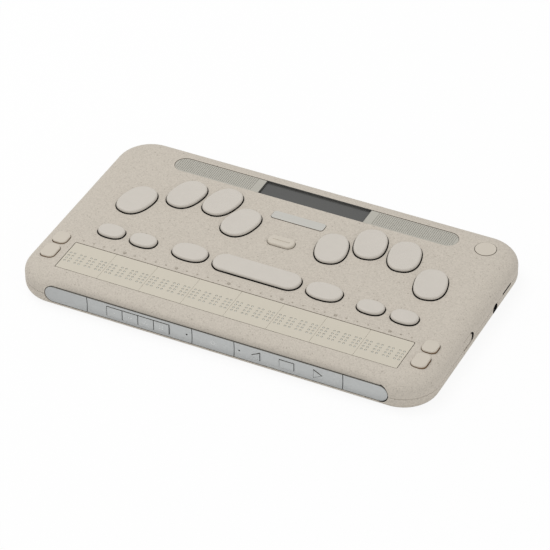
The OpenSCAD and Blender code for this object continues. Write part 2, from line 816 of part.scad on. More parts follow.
module end_key(s) color(strip_color) {
    strip_stems_at([for (x = end_stems) s * x]);
    difference() {
        along_y(panel_y, face_back) translate([0, panel_z]) {
            translate([s * (end_from + end_to - panel_h / 2) / 2, 0])
                square([end_to - panel_h / 2 - end_from, panel_h], center = true);
            translate([s * (end_to - panel_h / 2), 0]) circle(panel_h / 2);
        }
        finger_dishes();
    }
}

module left_end_key() end_key(-1);

module right_end_key() end_key(1);

module record_key() color(strip_color) {
    strip_stems_at([-record_stem, record_stem]);
    difference() {
        along_y(panel_y, face_back) translate([0, panel_z]) square([2 * record_half, panel_h], center = true);
        finger_dishes();
    }
}

module app_key(i) color(strip_color) {
    strip_stems_at([app_x(i)]);
    along_y(panel_y - strip_raise, face_back) translate([app_x(i), panel_z])
        square([app_w, app_h], center = true);
}

// Triangles point outwards for the first and last media key, with a square between them
module media_shape(i, grow) {
    third = arrow_w / 3 + grow;
    tall = media_h / 2 + 2 * grow;
    way = i - 2;
    if (i == 2) square([media_w + 2 * grow, media_h + 2 * grow], center = true);
    else polygon([[2 * way * third, 0], [-way * third, tall], [-way * third, -tall]]);
}

module media_key(i) color(strip_color) {
    strip_stems_at([media_x(i)]);
    along_y(panel_y - strip_raise, face_back) translate([media_x(i), panel_z]) media_shape(i, 0);
}

module media_previous_key() media_key(1);

module media_play_key() media_key(2);

module media_next_key() media_key(3);

// Two plates with fine sound slots, with the display window between them
module grille_plate() color([0.69, 0.68, 0.66]) translate([0, pill_y, 0]) difference() {
    slab(pill_w - 2 * grille_gap, pill_d - 2 * grille_gap, pill_end_r,
        z_top - pill_sink, z_top - grille_sink);
    box(-window_w / 2, window_w / 2, -pill_d, pill_d, z_top - pill_sink - cut, z_top + cut);
    for (s = [-1, 1], i = [1:slots]) translate([s * slot_x(i), 0, z_top])
        cube([slot_w, 2 * slot_half(slot_x(i)), 4 * pill_sink], center = true);
}

module display_window() color([0.35, 0.36, 0.36]) translate([0, pill_y, 0])
    slab(window_w - 2 * grille_gap, pill_d - 2 * grille_gap, grille_gap, window_top - window_t, window_top);

module display_module() color(dark_color) translate([0, pill_y, 0]) {
    slab(display_w - 2 * grille_gap, display_d - 2 * grille_gap, window_r - grille_gap,
        pad_bottom - cut / 2, window_top - window_t);
    slab(display_w + 2 * module_margin, display_d + 2 * module_margin, window_r,
        pad_bottom - module_h, pad_bottom);
}

module name_plate() color(steel_color) translate([0, plate_y, 0])
    slab(plate_w, plate_d, plate_r - grille_gap, z_top - plate_sink, z_top - plate_sink + plate_t);

// Braille line
module cap(i) {
    w = cells_per_cap * cell_pitch;
    x = (i - caps / 2 - 0.5) * w;
    difference() {
        translate([x, strip_y, (cap_bottom + z_top) / 2]) cube([w - cap_seam, cap_d, cap_t], center = true);
        for (c = [1:cells_per_cap], r = [1:4], s = [-1, 1])
            translate([cell_x((i - 1) * cells_per_cap + c) + s * dot_pitch / 2, row_y(r), cap_bottom - cut])
                cylinder(h = cap_t + 2 * cut, r = pin_r + pin_clearance);
    }
}

module cell_caps() color(cap_color) for (i = [1:caps]) cap(i);

module pins_row(r) color([0.66, 0.67, 0.63])
    for (i = [1:cells], s = [-1, 1]) translate([cell_x(i) + s * dot_pitch / 2, row_y(r), 0]) {
        translate([0, 0, pin_foot_z]) cylinder(h = z_top + pin_rest - pin_foot_z, r = pin_r);
        translate([0, 0, pin_foot_z]) cylinder(h = pin_foot_t, r = pin_foot_r);
    }

// Flat cell module with a raised head under its cap and a trough for the feet of the pins
module piezo_cells() color([0.20, 0.21, 0.24]) for (i = [1:cells])
    along_x(cell_x(i) - cell_pitch / 2 + cap_seam / 2, cell_x(i) + cell_pitch / 2 - cap_seam / 2)
        polygon([[strip_front, low_board_top], [cell_back, low_board_top], [cell_back, cell_top],
            [head_to, cell_top], [head_to, cap_bottom], [trough_to, cap_bottom], [trough_to, trough_z],
            [trough_from, trough_z], [trough_from, cap_bottom], [strip_front, cap_bottom]]);

module cell_board() color(board_color)
    box(-strip_w / 2, strip_w / 2, front_board_y - board_gap, low_board_split, z_floor, low_board_top);

// Boards under the keys
module key_board() color(board_color) difference() {
    union() {
        box(-board_x, board_x, row_front - board_edge, board_back, key_board_bottom, key_board_top);
        for (s = [-1, 1]) box(min(s * wing_in, s * board_x), max(s * wing_in, s * board_x), wing_front,
            row_front, key_board_bottom, key_board_top);
        box(power_x - tab_edge - switch_w / 2, power_x + switch_w / 2, board_back - cut,
            power_y + switch_w / 2, key_board_bottom, key_board_top);
    }
    at_each(towers) translate([0, 0, key_board_bottom - cut])
        cylinder(h = board_t + 2 * cut, r = tower_r + board_gap);
    at_each(posts) translate([0, 0, key_board_bottom - cut])
        cylinder(h = board_t + 2 * cut, r = board_screw_r + screw_clearance);
    box(usb_end - usb_len - board_gap, board_x + cut, usb_y - usb_w / 2 - board_gap,
        usb_y + usb_w / 2 + board_gap, key_board_bottom - cut, key_board_top + cut);
}

module key_switch() {
    difference() {
        translate([0, 0, key_board_top + switch_h / 2]) cube([switch_w, switch_w, switch_h], center = true);
        translate([0, 0, key_board_top - cut]) cylinder(h = switch_h + 2 * cut, r = stem_r + stem_clearance);
    }
}

module strip_switch() {
    translate([0, strip_switch_y + strip_switch_t / 2, panel_z])
        cube([2 * strip_head_r, strip_switch_t, 2 * strip_head_r], center = true);
}

module key_switches() color(dark_color) {
    for (k = top_keys) at_key(k) for (p = stems(k)) translate(p) key_switch();
    for (x = strip_stems) translate([x, 0, 0]) strip_switch();
}

module front_board() color(board_color)
    box(-panel_w / 2 + panel_h / 2, panel_w / 2 - panel_h / 2, front_board_y, front_board_y + board_t,
        low_board_top, panel_z + panel_h / 2);

module main_board() color(board_color) difference() {
    box(-main_over, board_x, low_board_split + board_gap, main_back, z_floor, low_board_top);
    at_each(towers) translate([0, 0, z_floor - cut]) cylinder(h = board_t + 2 * cut, r = tower_r + board_gap);
}

// Stacking connector between the boards and bridge connector to the braille line
module board_connectors() color([0.85, 0.82, 0.72]) {
    box(stack_x, stack_x + stack_w, stack_y, stack_y + stack_d, low_board_top, key_board_bottom);
    box(stack_x, stack_x + stack_w,
        low_board_split - bridge_reach, low_board_split + board_gap + bridge_reach,
        low_board_top, low_board_top + bridge_h);
}

module battery() color([0.30, 0.32, 0.36])
    translate([-main_over - battery_space - battery_w / 2, battery_y, 0])
        slab(battery_w, battery_d, battery_r, z_floor, z_floor + battery_h);

module speakers() color(dark_color) for (s = [-1, 1]) translate([s * speaker_x, pill_y, 0])
    slab(speaker_w, speaker_d, window_r, pad_bottom - speaker_h, pad_bottom);

module headphone_jack() color(dark_color) difference() {
    union() {
        box(jack_end - jack_len - jack_wall, board_x, jack_y - jack_body_w / 2, jack_y + jack_body_w / 2,
            low_board_top, 2 * jack_z - low_board_top);
        translate([board_x - cut, jack_y, jack_z]) rotate([0, 90, 0])
            cylinder(h = jack_end - board_x + cut, r = jack_neck_r);
        translate([jack_end - jack_nose_len, jack_y, jack_z]) rotate([0, 90, 0])
            cylinder(h = jack_nose_len, r = jack_nose_r);
    }
    translate([jack_end - jack_len, jack_y, jack_z]) rotate([0, 90, 0])
        cylinder(h = jack_len + cut, r = jack_r);
}

module usb_port() color(steel_color) translate([0, usb_y, 0]) {
    difference() {
        along_x(usb_end - usb_len, usb_end) translate([0, usb_z]) stadium(usb_w, usb_h);
        along_x(usb_end - usb_len + usb_back, usb_end + cut) translate([0, usb_z])
            stadium(usb_w - 2 * usb_shell, usb_h - 2 * usb_shell);
    }
    along_x(usb_end - usb_len + usb_back / 2, usb_end - usb_shell) translate([0, usb_z])
        square([usb_w - usb_h, usb_tongue], center = true);
    for (s = [-1, 1]) translate([0, s * (usb_w / 2 - usb_shell + usb_tab / 2), 0])
        box(usb_end - usb_len, board_x, -usb_tab / 2, usb_tab / 2, key_board_top, key_board_top + usb_shell);
}

// Cover in the recess of the port, shorter than the recess by the nail notch
module port_cover() color(case_color) along_x(cover_face - cover_t, cover_face)
    translate([usb_y - nail / 2, usb_z]) stadium(recess_w - nail - 2 * strip_gap, recess_h - 2 * strip_gap);

module card_slot() color(steel_color) difference() {
    box(card_end - card_len, card_end, card_y - card_w / 2 - card_wall, card_y + card_w / 2 + card_wall,
        key_board_bottom - card_body_h, key_board_bottom);
    box(card_end - card_len + card_wall, card_end + cut, card_y - card_w / 2, card_y + card_w / 2,
        card_z - card_h / 2, card_z + card_h / 2);
}

module microphones() color(dark_color) for (s = [-1, 1])
    translate([s * mic_from, carrier_back + seat_gap, panel_z]) rotate([-90, 0, 0])
        cylinder(h = front_board_y - carrier_back - seat_gap, r = mic_body_r);

module feet() color(dark_color) at_each(foot_places) cylinder(h = foot_h + foot_seat, r = foot_r);

module case_screws() color(steel_color) at_each(towers) {
    translate([0, 0, z_bottom + head_sink]) difference() {
        cylinder(h = head_h, r = screw_head_r);
        translate([0, 0, -cut]) cylinder(h = cut + head_h / 2, r = screw_r, $fn = hex);
    }
    translate([0, 0, z_bottom + head_sink + head_h / 2])
        cylinder(h = screw_top - z_bottom - head_sink - head_h / 2, r = screw_r);
}

module board_screws() color(steel_color) at_each(posts) {
    translate([0, 0, key_board_bottom - post_head_h]) cylinder(h = post_head_h, r = post_head_r);
    translate([0, 0, key_board_bottom - post_head_h])
        cylinder(h = post_head_h + board_t + post_depth, r = board_screw_r);
}

// Keys on top: a cap in its opening, a flange below the shell and stems in the switches
module key_flange(k) {
    lip = k[5];
    w = k[1][0];
    d = k[1][1];
    if (lip[0] > 0 && lip[1] > 0) key_plan(k, lip[0], flange_bottom, flange_top);
    else if (lip[0] > 0) slab(w + 2 * lip[0], d / 2, tongue_r, flange_bottom, flange_top);
    else slab(w / 2, d + 2 * lip[1], tongue_r, flange_bottom, flange_top);
}

module key_body(k) {
    key_plan(k, 0, flange_bottom, z_top + k[3], min(key_roll, k[3]));
    key_flange(k);
    for (p = stems(k)) translate([p[0], p[1], stem_tip]) cylinder(h = flange_top - stem_tip, r = stem_r);
}

module plain_key(k) color(key_color) at_key(k) key_body(k);

module dot_key(i) color(key_color) at_key(dot_key_data(i - 1)) difference() {
    key_body(dot_key_data(i - 1));
    translate([0, 0, z_top + key_raise - dish + dish_r]) sphere(dish_r);
}

module home_key() color(cap_color) {
    at_key(home_data) key_body(home_data);
    at_key(home_data) translate([0, 0, z_top + home_raise])
        cube([home_line, home_line_w, 2 * home_line_h], center = true);
}

module scroll_key(k) color(cap_color) at_key(k) key_body(k);

module power_key() color(cap_color) at_key(power_data) key_body(power_data);

top_shell();
bottom_shell();
front_panel();
grille_plate();
display_window();
display_module();
name_plate();
cell_caps();
piezo_cells();
cell_board();
key_board();
key_switches();
main_board();
board_connectors();
battery();
speakers();
headphone_jack();
usb_port();
card_slot();
front_board();
microphones();
feet();
case_screws();
board_screws();
port_cover();
pins_row(1);  // pins_row_1
pins_row(2);  // pins_row_2
pins_row(3);  // pins_row_3
pins_row(4);  // pins_row_4
dot_key(1);  // dot_key_1
dot_key(2);  // dot_key_2
dot_key(3);  // dot_key_3
dot_key(4);  // dot_key_4
dot_key(5);  // dot_key_5
dot_key(6);  // dot_key_6
dot_key(7);  // dot_key_7
dot_key(8);  // dot_key_8
plain_key(space_data);  // space_key
plain_key(ctrl_data);  // ctrl_key
plain_key(alt_data);  // alt_key
plain_key(f_data(1));  // f1_key
plain_key(f_data(2));  // f2_key
plain_key(f_data(3));  // f3_key
plain_key(f_data(4));  // f4_key
home_key();
scroll_key(scroll_up_left_data);  // scroll_up_left
scroll_key(scroll_down_left_data);  // scroll_down_left
scroll_key(scroll_up_right_data);  // scroll_up_right
scroll_key(scroll_down_right_data);  // scroll_down_right
power_key();
left_end_key();
right_end_key();
record_key();
app_key(1);  // app_key_1
app_key(2);  // app_key_2
app_key(3);  // app_key_3
app_key(4);  // app_key_4
media_previous_key();
media_play_key();
media_next_key();
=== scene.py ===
"""Braille notetaker: finishes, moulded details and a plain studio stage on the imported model."""
import json
import math

import bmesh
import bpy
from bpy.props import FloatProperty, FloatVectorProperty, IntProperty, PointerProperty
from bpy.types import Operator, Panel, PropertyGroup
from mathutils import Matrix, Vector


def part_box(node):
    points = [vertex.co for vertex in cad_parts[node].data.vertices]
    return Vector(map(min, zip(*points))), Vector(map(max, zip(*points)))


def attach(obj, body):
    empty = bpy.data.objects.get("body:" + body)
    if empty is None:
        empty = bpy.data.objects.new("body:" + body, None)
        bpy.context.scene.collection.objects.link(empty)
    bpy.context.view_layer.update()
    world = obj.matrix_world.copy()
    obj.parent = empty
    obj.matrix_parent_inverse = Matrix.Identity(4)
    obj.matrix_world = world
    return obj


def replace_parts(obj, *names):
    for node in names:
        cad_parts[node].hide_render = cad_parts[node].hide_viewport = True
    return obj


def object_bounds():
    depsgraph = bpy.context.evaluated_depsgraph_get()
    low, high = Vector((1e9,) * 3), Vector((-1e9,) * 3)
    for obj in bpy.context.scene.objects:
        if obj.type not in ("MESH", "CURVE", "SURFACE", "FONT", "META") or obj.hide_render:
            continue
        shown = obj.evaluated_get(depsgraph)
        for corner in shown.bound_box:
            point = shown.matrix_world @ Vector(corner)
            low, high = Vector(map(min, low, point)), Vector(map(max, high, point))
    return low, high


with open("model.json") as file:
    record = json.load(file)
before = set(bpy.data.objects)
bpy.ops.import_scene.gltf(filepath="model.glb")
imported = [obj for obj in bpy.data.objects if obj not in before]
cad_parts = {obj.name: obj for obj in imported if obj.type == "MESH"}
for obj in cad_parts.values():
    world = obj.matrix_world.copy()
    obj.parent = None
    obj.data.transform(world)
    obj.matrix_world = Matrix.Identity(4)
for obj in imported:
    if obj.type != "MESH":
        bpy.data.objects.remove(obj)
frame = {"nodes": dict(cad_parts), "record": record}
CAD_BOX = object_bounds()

bl_info = {
    "name": "Braille Notetaker",
    "version": (1, 0, 0),
    "blender": (4, 5, 0),
    "location": "View3D > Sidebar > Notetaker",
    "description": "Dresses a braille notetaker with its finishes, pins and raised marks on a plain stage",
    "category": "Object",
}

MM = 0.001
SENSOR_WIDTH = 36
PICTURE_WIDTH = 550
UPRIGHT = Matrix.Rotation(math.pi / 2, 3, "X")

# Place and width of each lamp
SOFT_LAMP = ((-0.7, 0.1, 1.7), 1.3)
SIDE_LAMP = ((1.6, -0.5, 0.7), 1.2)

# Sizes of the rings that make the top of a key, as shares of it
TOP_RINGS = (0.95, 0.85, 0.7, 0.55, 0.4, 0.25, 0.1)

# Heights between which a painted shade fades out, from the top of the case, a pin or the plate
KEY_SHADOW_FADE = (0.42 * MM, 0.7 * MM)
CREAM_FADE = (0, 0.15 * MM)
SCROLL_FADE = (0.05 * MM, 0.8 * MM)
CAP_FADE = (-0.12 * MM, -0.04 * MM)
PIN_FADE = (-0.5 * MM, -0.25 * MM)
PLATE_FADE = (-0.1 * MM, -0.03 * MM)

# Reach of the painted gap shade beyond the pieces in the gaps, and its depth below the top of the case
CAP_REACH = 0.4 * MM
PLATE_REACH = 0.35 * MM
GAP_DEPTH = 0.03 * MM

# Share of the half width beyond which a shade lies on the right side
SIDE_SHARE = 0.9


def linear(red, green, blue):
    """Scene colour of a display colour given in steps of 255."""
    return tuple(((c / 255 + 0.055) / 1.055) ** 2.4 for c in (red, green, blue))


def length(name, text, value):
    return FloatProperty(name=name, description=text, default=value * MM, min=0, unit="LENGTH", precision=5)


def colour(name, text, value):
    return FloatVectorProperty(name=name, description=text, default=linear(*value), size=3, min=0, max=1,
                               subtype="COLOR")


def angle(name, text, value):
    return FloatProperty(name=name, description=text, default=math.radians(value), unit="ROTATION",
                         subtype="ANGLE")


class NotetakerSizes(PropertyGroup):
    cells: IntProperty(name="Braille cells", description="Cells in the braille line", default=32, min=1)
    cell_pitch: length("Cell pitch", "Distance between cell centres", 6.42)
    dot_pitch: length("Dot pitch", "Distance between the two pins of a row in one cell", 2.5)
    pin_radius: length("Pin radius", "Radius of a pin's shaft", 0.63)
    pin_dome: length("Pin dome", "Height of a pin's rounded tip", 0.42)
    pin_shaft: length("Pin shaft", "Length of the shaft below the tip", 1.8)
    bead_radius: length("Bead radius", "Radius of a raised bead on the small front keys", 0.34)
    bead_height: length("Bead height", "Height of a raised bead on the small front keys", 0.18)
    bead_pitch: length("Bead pitch", "Distance between the beads", 1.7)
    ring_radius: length("Ring radius", "Radius of the raised ring on the middle front key", 1.1)
    ring_bead: length("Ring bead", "Radius of the ring's round section", 0.16)
    input_width: length("Input key width", "Width of an input key", 18.3)
    input_length: length("Input key length", "Length of an input key", 26.3)
    input_turn: angle("Input key turn", "Turn of the input keys towards the hands", 13)
    wide_width: length("Wide key width", "Width of the two keys beside the space key", 20.6)
    wide_length: length("Wide key length", "Length of the two keys beside the space key", 14.1)
    small_width: length("Function key width", "Width of a function key", 15.6)
    small_length: length("Function key length", "Length of a function key", 11.2)
    oval: FloatProperty(name="Oval", description="Fullness of the keys' oval, 2 for an ellipse", default=2.36,
                        min=2, max=4)
    key_roll: length("Key roll", "Radius of the rolled top edge of a key", 1.2)
    key_dish: length("Key dish", "Depth of the finger dish in an input key", 0.5)
    key_gap: length("Key gap", "Gap between a key and the case", 0.62)
    hole_gap: length("Opening gap", "Room round a key in the opening of the shell", 0.7)
    end_flat: length("End flat", "Half the straight length at the ends of a key's opening", 0.4)
    roof: length("Roof", "Thickness of the shell over the keys", 2)
    flange: length("Flange", "Thickness of the flange that holds a key below the shell", 1)
    flange_lip: length("Flange lip", "Reach of the flange below the shell", 1.5)
    seat_gap: length("Seat gap", "Room between the flange and the shell", 0.3)
    edge_roll: length("Edge roll", "Radius of the rolled top edge of a scroll key", 0.75)
    scroll_corner: length("Scroll key corner", "Corner radius of a scroll key", 3.4)
    scroll_lip: length("Scroll key lip", "Reach of a scroll key's flange below the shell", 0.75)
    stem_radius: length("Stem radius", "Radius of a key's stem", 1.6)
    slot_pitch: length("Slot pitch", "Distance between the sound slots", 1.2)
    slot_width: length("Slot width", "Width of a sound slot", 0.5)
    slot_margin: length("Slot margin", "Plain edge of the grille at the ends of the slots", 0.5)
    slot_depth: length("Slot depth", "Depth at which the dust cloth shows in the slots", 0.3)
    window_width: length("Window width", "Width of the display opening", 65.2)
    window_length: length("Window length", "Depth of the display opening", 12.9)
    window_land: length("Window land", "Plain land between the display and the sound slots", 4.7)
    lining: length("Lining", "Thickness of the dark lining of the display opening", 0.12)
    mark_back: length("Mark distance", "Braille line to the row of raised marks behind it", 3.2)
    nail_notch: length("Nail notch", "Width of the notch behind the cover of the charging port", 1.3)
    port_width: length("Port width", "Width of the recess of the charging port", 14.4)
    port_height: length("Port height", "Height of the recess of the charging port", 5.9)
    jack_hole: length("Socket hole", "Radius of the hole for the headphone socket", 3)
    # Widths of painted shade: along the key borders of the front strip, round its right end and behind the
    # braille line
    strip_line: length("Strip line", "Half the width of the dark borders of the front strip's keys", 0.2)
    end_line: length("End line", "Width of the dark gap at the ends of the front strip", 0.6)
    back_line: length("Back line", "Width of the dark gap behind the braille line", 0.55)


class NotetakerColours(PropertyGroup):
    case: colour("Case", "Speckled plastic of both shells", (199, 191, 179))
    speck: colour("Speck", "Dark specks in the case plastic", (120, 111, 98))
    key: colour("Keys", "Input, space and function keys", (205, 199, 190))
    # Painted shadow, near black: on the lower sides of the input, space and function keys, round the right
    # end of the front strip and inside the openings of the case
    deep_shadow: colour("Key skirts", "Lower part of the input, space and function keys", (14, 13, 12))
    shade: colour("Gap shade", "Brown shade in the narrow gaps of the case", (90, 72, 54))
    # Painted shade on the upright sides and along the key borders of the front strip
    strip_gap_shade: colour("Strip gaps", "Upright sides of the front strip's pieces", (58, 59, 58))
    # Painted shade on the level sides of the front strip's pieces
    strip_ledge_shade: colour("Strip ledges", "Level sides of the front strip's pieces", (112, 109, 103))
    # Painted highlight: the beads and the ring are lighter than the strip
    bead: colour("Beads", "Raised beads and ring on the front keys", (228, 229, 227))
    cream_key: colour("Cream keys", "Home, scroll and power keys", (205, 197, 184))
    strip: colour("Front strip", "Front panel and its keys", (196, 198, 197))
    cap: colour("Braille caps", "Caps of the braille line", (206, 199, 184))
    # Painted shade on the sides and in the holes of the caps
    cap_edge_shade: colour("Cap edges", "Sides and holes of the caps", (180, 165, 145))
    pin: colour("Pins", "Braille pins", (203, 203, 194))
    # Painted shade on the sides of the pins in their holes
    pin_ring_shade: colour("Pin rings", "Sides of the pins in their holes", (200, 196, 184))
    grille: colour("Grilles", "Painted plate with the sound slots", (181, 178, 168))
    cloth: colour("Dust cloth", "Cloth behind the sound slots", (196, 194, 186))
    glass: colour("Display window", "Cover of the display", (76, 76, 74))
    lining: colour("Window lining", "Dark lining of the display opening", (92, 92, 89))
    plate: colour("Name plate", "Bare brushed plate", (206, 204, 197))
    metal: colour("Metal", "Sockets and screws", (190, 191, 193))
    dark: colour("Dark parts", "Switches, speakers and sockets", (46, 46, 48))
    board: colour("Boards", "Circuit boards", (38, 92, 62))
    connector: colour("Connectors", "Board connectors", (219, 212, 190))
    battery: colour("Battery", "Foil of the battery", (92, 95, 102))
    rubber: colour("Rubber", "Feet", (38, 38, 38))
    floor: colour("Floor", "Plain pale floor", (250, 250, 250))


class NotetakerStage(PropertyGroup):
    turn: angle("Camera turn", "Camera's angle round the object from straight ahead", 26.123)
    height: angle("Camera height", "Camera's angle above the horizon", 37.561)
    roll: angle("Camera roll", "Camera's lean", -0.317)
    distance: FloatProperty(name="Camera distance", description="Camera to the point that it looks at",
                            default=1.76685, min=0.1, unit="LENGTH")
    target: FloatVectorProperty(name="Camera target", description="Point in the middle of the picture",
                                default=(0.009712, -0.015824, 0.0188), size=3, subtype="TRANSLATION",
                                unit="LENGTH", precision=5)
    focal: FloatProperty(name="Focal length", description="Focal length in pixels of a picture 550 wide",
                         default=3231.2, min=100)
    sky: FloatProperty(name="Sky", description="Strength of the even light from all sides",
                       default=0.62, min=0)
    lamp: FloatProperty(name="Lamp", description="Power of the large soft lamp in watts", default=13.5, min=0)
    fill: FloatProperty(name="Fill", description="Power of the weak lamp at the right in watts",
                        default=3, min=0)


class Value:
    """A number that changes over a surface. Arithmetic on it adds Math nodes."""

    def __init__(self, finish, socket):
        self.finish = finish
        self.socket = socket

    def math(self, operation, first, second):
        node = self.finish.node("ShaderNodeMath", {"operation": operation}, {0: first, 1: second})
        return Value(self.finish, node.outputs[0])

    def __add__(self, other):
        return self.math("ADD", self, other)

    def __radd__(self, other):
        return self.math("ADD", other, self)

    def __sub__(self, other):
        return self.math("SUBTRACT", self, other)

    def __rsub__(self, other):
        return self.math("SUBTRACT", other, self)

    def __mul__(self, other):
        return self.math("MULTIPLY", self, other)

    def __rmul__(self, other):
        return self.math("MULTIPLY", other, self)

    def __truediv__(self, other):
        return self.math("DIVIDE", self, other)

    def __lt__(self, other):
        return self.math("LESS_THAN", self, other)

    def __gt__(self, other):
        return self.math("GREATER_THAN", self, other)

    def __abs__(self):
        return self.math("ABSOLUTE", self, 0.0)

    def __mod__(self, other):
        return self.math("FLOORED_MODULO", self, other)

    def between(self, low, high):
        """0 up to low, 1 from high on and smooth between them."""
        node = self.finish.node("ShaderNodeMapRange", {"interpolation_type": "SMOOTHSTEP"},
                                {"Value": self, "From Min": low, "From Max": high})
        return Value(self.finish, node.outputs["Result"])


class Finish:
    """The nodes of one finish."""

    def __init__(self, name):
        self.material = bpy.data.materials.new(name)
        self.material.use_nodes = True
        self.tree = self.material.node_tree
        self.tree.nodes.clear()
        self.shader = self.node("ShaderNodeBsdfPrincipled")
        self.node("ShaderNodeOutputMaterial", {}, {"Surface": self.shader.outputs[0]})
        self.coords = self.node("ShaderNodeTexCoord").outputs["Object"]

    def node(self, kind, settings=None, sockets=None):
        node = self.tree.nodes.new(kind)
        for key, value in (settings or {}).items():
            setattr(node, key, value)
        for key, value in (sockets or {}).items():
            self.put(node, key, value)
        return node

    def put(self, node, key, value):
        """Sets one input of a node, found by its place, identifier or name, to a number or a link."""
        by_id = {s.identifier: s for s in node.inputs}
        socket = node.inputs[key] if isinstance(key, int) or key not in by_id else by_id[key]
        if isinstance(value, Value):
            value = value.socket
        if isinstance(value, bpy.types.NodeSocket):
            self.tree.links.new(value, socket)
        else:
            socket.default_value = value

    def set(self, **inputs):
        for key, value in inputs.items():
            self.put(self.shader, key.replace("_", " "), value)

    def stretched(self, x, y, z):
        """Object coordinates times a number in each direction."""
        node = self.node("ShaderNodeVectorMath", {"operation": "MULTIPLY"}, {0: self.coords, 1: (x, y, z)})
        return node.outputs[0]

    def axis(self, letter):
        node = self.node("ShaderNodeSeparateXYZ", {}, {0: self.coords})
        return Value(self, node.outputs[letter])

    def facing(self, letter):
        """How far a surface faces along an axis, either way, from 0 to 1."""
        normal = self.node("ShaderNodeTexCoord").outputs["Normal"]
        node = self.node("ShaderNodeSeparateXYZ", {}, {0: normal})
        return abs(Value(self, node.outputs[letter]))

    def near(self, letter, middle, half):
        """1 within half of a middle along an axis, 0 elsewhere."""
        return abs(self.axis(letter) - middle) < half

    def inside(self, low, high):
        """1 between two corners of a box."""
        parts = [self.near(a, (p + q) / 2, (q - p) / 2) for a, p, q in zip("XYZ", low, high)]
        return parts[0] * parts[1] * parts[2]

    def noise(self, size, detail=2.0, vector=None):
        """Cloudy noise whose spots are about size metres wide."""
        node = self.node("ShaderNodeTexNoise", {}, {"Vector": vector or self.coords, "Scale": 1 / size,
                                                    "Detail": detail, "Roughness": 0.55})
        return Value(self, node.outputs["Fac"])

    def specks(self, size, share, spread):
        """1 inside round specks in a share of cells of that size, 0 elsewhere."""
        cell = self.node("ShaderNodeTexVoronoi", {}, {"Vector": self.coords, "Scale": 1 / size})
        pick = self.node("ShaderNodeSeparateColor", {}, {0: cell.outputs["Color"]})
        chosen = Value(self, pick.outputs[0]) < share
        return chosen * (1 - Value(self, cell.outputs["Distance"]).between(spread * 0.4, spread))

    def mix(self, factor, first, second):
        """Colour between two colours."""
        def full(c):
            return c if isinstance(c, bpy.types.NodeSocket) else (*c, 1)
        node = self.node("ShaderNodeMix", {"data_type": "RGBA"},
                         {"Factor_Float": factor, "A_Color": full(first), "B_Color": full(second)})
        return next(s for s in node.outputs if s.identifier == "Result_Color")

    def bump(self, height, distance, strength=1.0):
        node = self.node("ShaderNodeBump", {}, {"Strength": strength, "Distance": distance, "Height": height})
        self.set(Normal=node.outputs["Normal"])


def shade(colour, amount):
    """A colour made lighter or darker."""
    return tuple(min(1, c * amount) for c in colour)


def below(low, high):
    """Mask of what lies under a height, smooth between two heights."""
    return lambda paint: 1 - paint.axis("Z").between(low, high)


def foot(level, fade):
    """Mask of what lies under a level, smooth between two heights counted from it."""
    return below(level + fade[0], level + fade[1])


def facing(letter):
    """Mask of what faces along an axis."""
    return lambda paint: paint.facing(letter).between(0.5, 0.8)


def shaded(paint, body, shades):
    """A colour with painted shade in places. Each shade is a function that gives a mask, with its colour."""
    for mask, dark in shades:
        body = paint.mix(mask(paint), body, dark)
    return body


def speckled_plastic(name, colour, speck, shades=()):
    """Matt moulded plastic with fine specks."""
    paint = Finish(name)
    cloud = paint.noise(0.8 * MM, 3).between(0.3, 0.7)
    body = paint.mix(cloud, shade(colour, 0.925), shade(colour, 1.075))
    fine = paint.specks(0.9 * MM, 0.3, 0.55)
    body = paint.mix(fine * 0.22, body, speck)
    coarse = paint.specks(2.1 * MM, 0.1, 0.3)
    body = paint.mix(coarse * 0.4, body, speck)
    pale = paint.specks(1.1 * MM, 0.2, 0.5)
    body = paint.mix(pale * 0.3, body, shade(colour, 1.16))
    grain = paint.noise(0.35 * MM, 2)
    paint.set(Base_Color=shaded(paint, body, shades), Roughness=0.6 + 0.14 * grain, Specular_IOR_Level=0.22)
    paint.bump(grain + fine * 0.4, 0.03 * MM, 0.5)
    return paint.material


def satin_plastic(name, colour, rough=0.46, mottle=0.03, shades=()):
    """Even moulded plastic with a faint cloud in its colour and a fine satin grain."""
    paint = Finish(name)
    cloud = paint.noise(5 * MM, 3)
    face = paint.mix(cloud, shade(colour, 1 - mottle), shade(colour, 1 + mottle))
    paint.set(Base_Color=shaded(paint, face, shades))
    fine = paint.noise(0.5 * MM, 2)
    paint.set(Roughness=rough - 0.06 + 0.12 * fine, Specular_IOR_Level=0.25)
    paint.bump(fine, 0.02 * MM, 0.35)
    return paint.material


def brushed_metal(name, colour, along=(60, 4000, 4000), rough=0.34, shades=()):
    """Metal with fine brush lines."""
    paint = Finish(name)
    line = paint.noise(1, 2, paint.stretched(*along))
    face = paint.mix(line, shade(colour, 0.92), shade(colour, 1.06))
    paint.set(Base_Color=shaded(paint, face, shades), Metallic=0.35)
    paint.set(Roughness=rough - 0.08 + 0.2 * line)
    paint.bump(line, 0.01 * MM, 0.4)
    return paint.material


def painted_plate(name, colour):
    """Painted plate with a dusty, slightly uneven coat."""
    paint = Finish(name)
    cloud = paint.noise(2.5 * MM, 3)
    paint.set(Base_Color=paint.mix(cloud, shade(colour, 0.96), shade(colour, 1.04)))
    fine = paint.noise(0.25 * MM, 2)
    paint.set(Roughness=0.5 + 0.15 * fine, Specular_IOR_Level=0.4)
    paint.bump(fine, 0.02 * MM, 0.4)
    return paint.material


def dust_cloth(name, colour):
    """Fine woven cloth."""
    paint = Finish(name)
    thread = 0.16 * MM
    across = abs((paint.axis("X") % (2 * thread)) / thread - 1)
    along = abs((paint.axis("Y") % (2 * thread)) / thread - 1)
    weave = across * along
    paint.set(Base_Color=paint.mix(weave, shade(colour, 0.96), shade(colour, 1.04)))
    paint.set(Roughness=0.85 + 0.1 * weave)
    paint.bump(weave, 0.03 * MM, 0.5)
    return paint.material


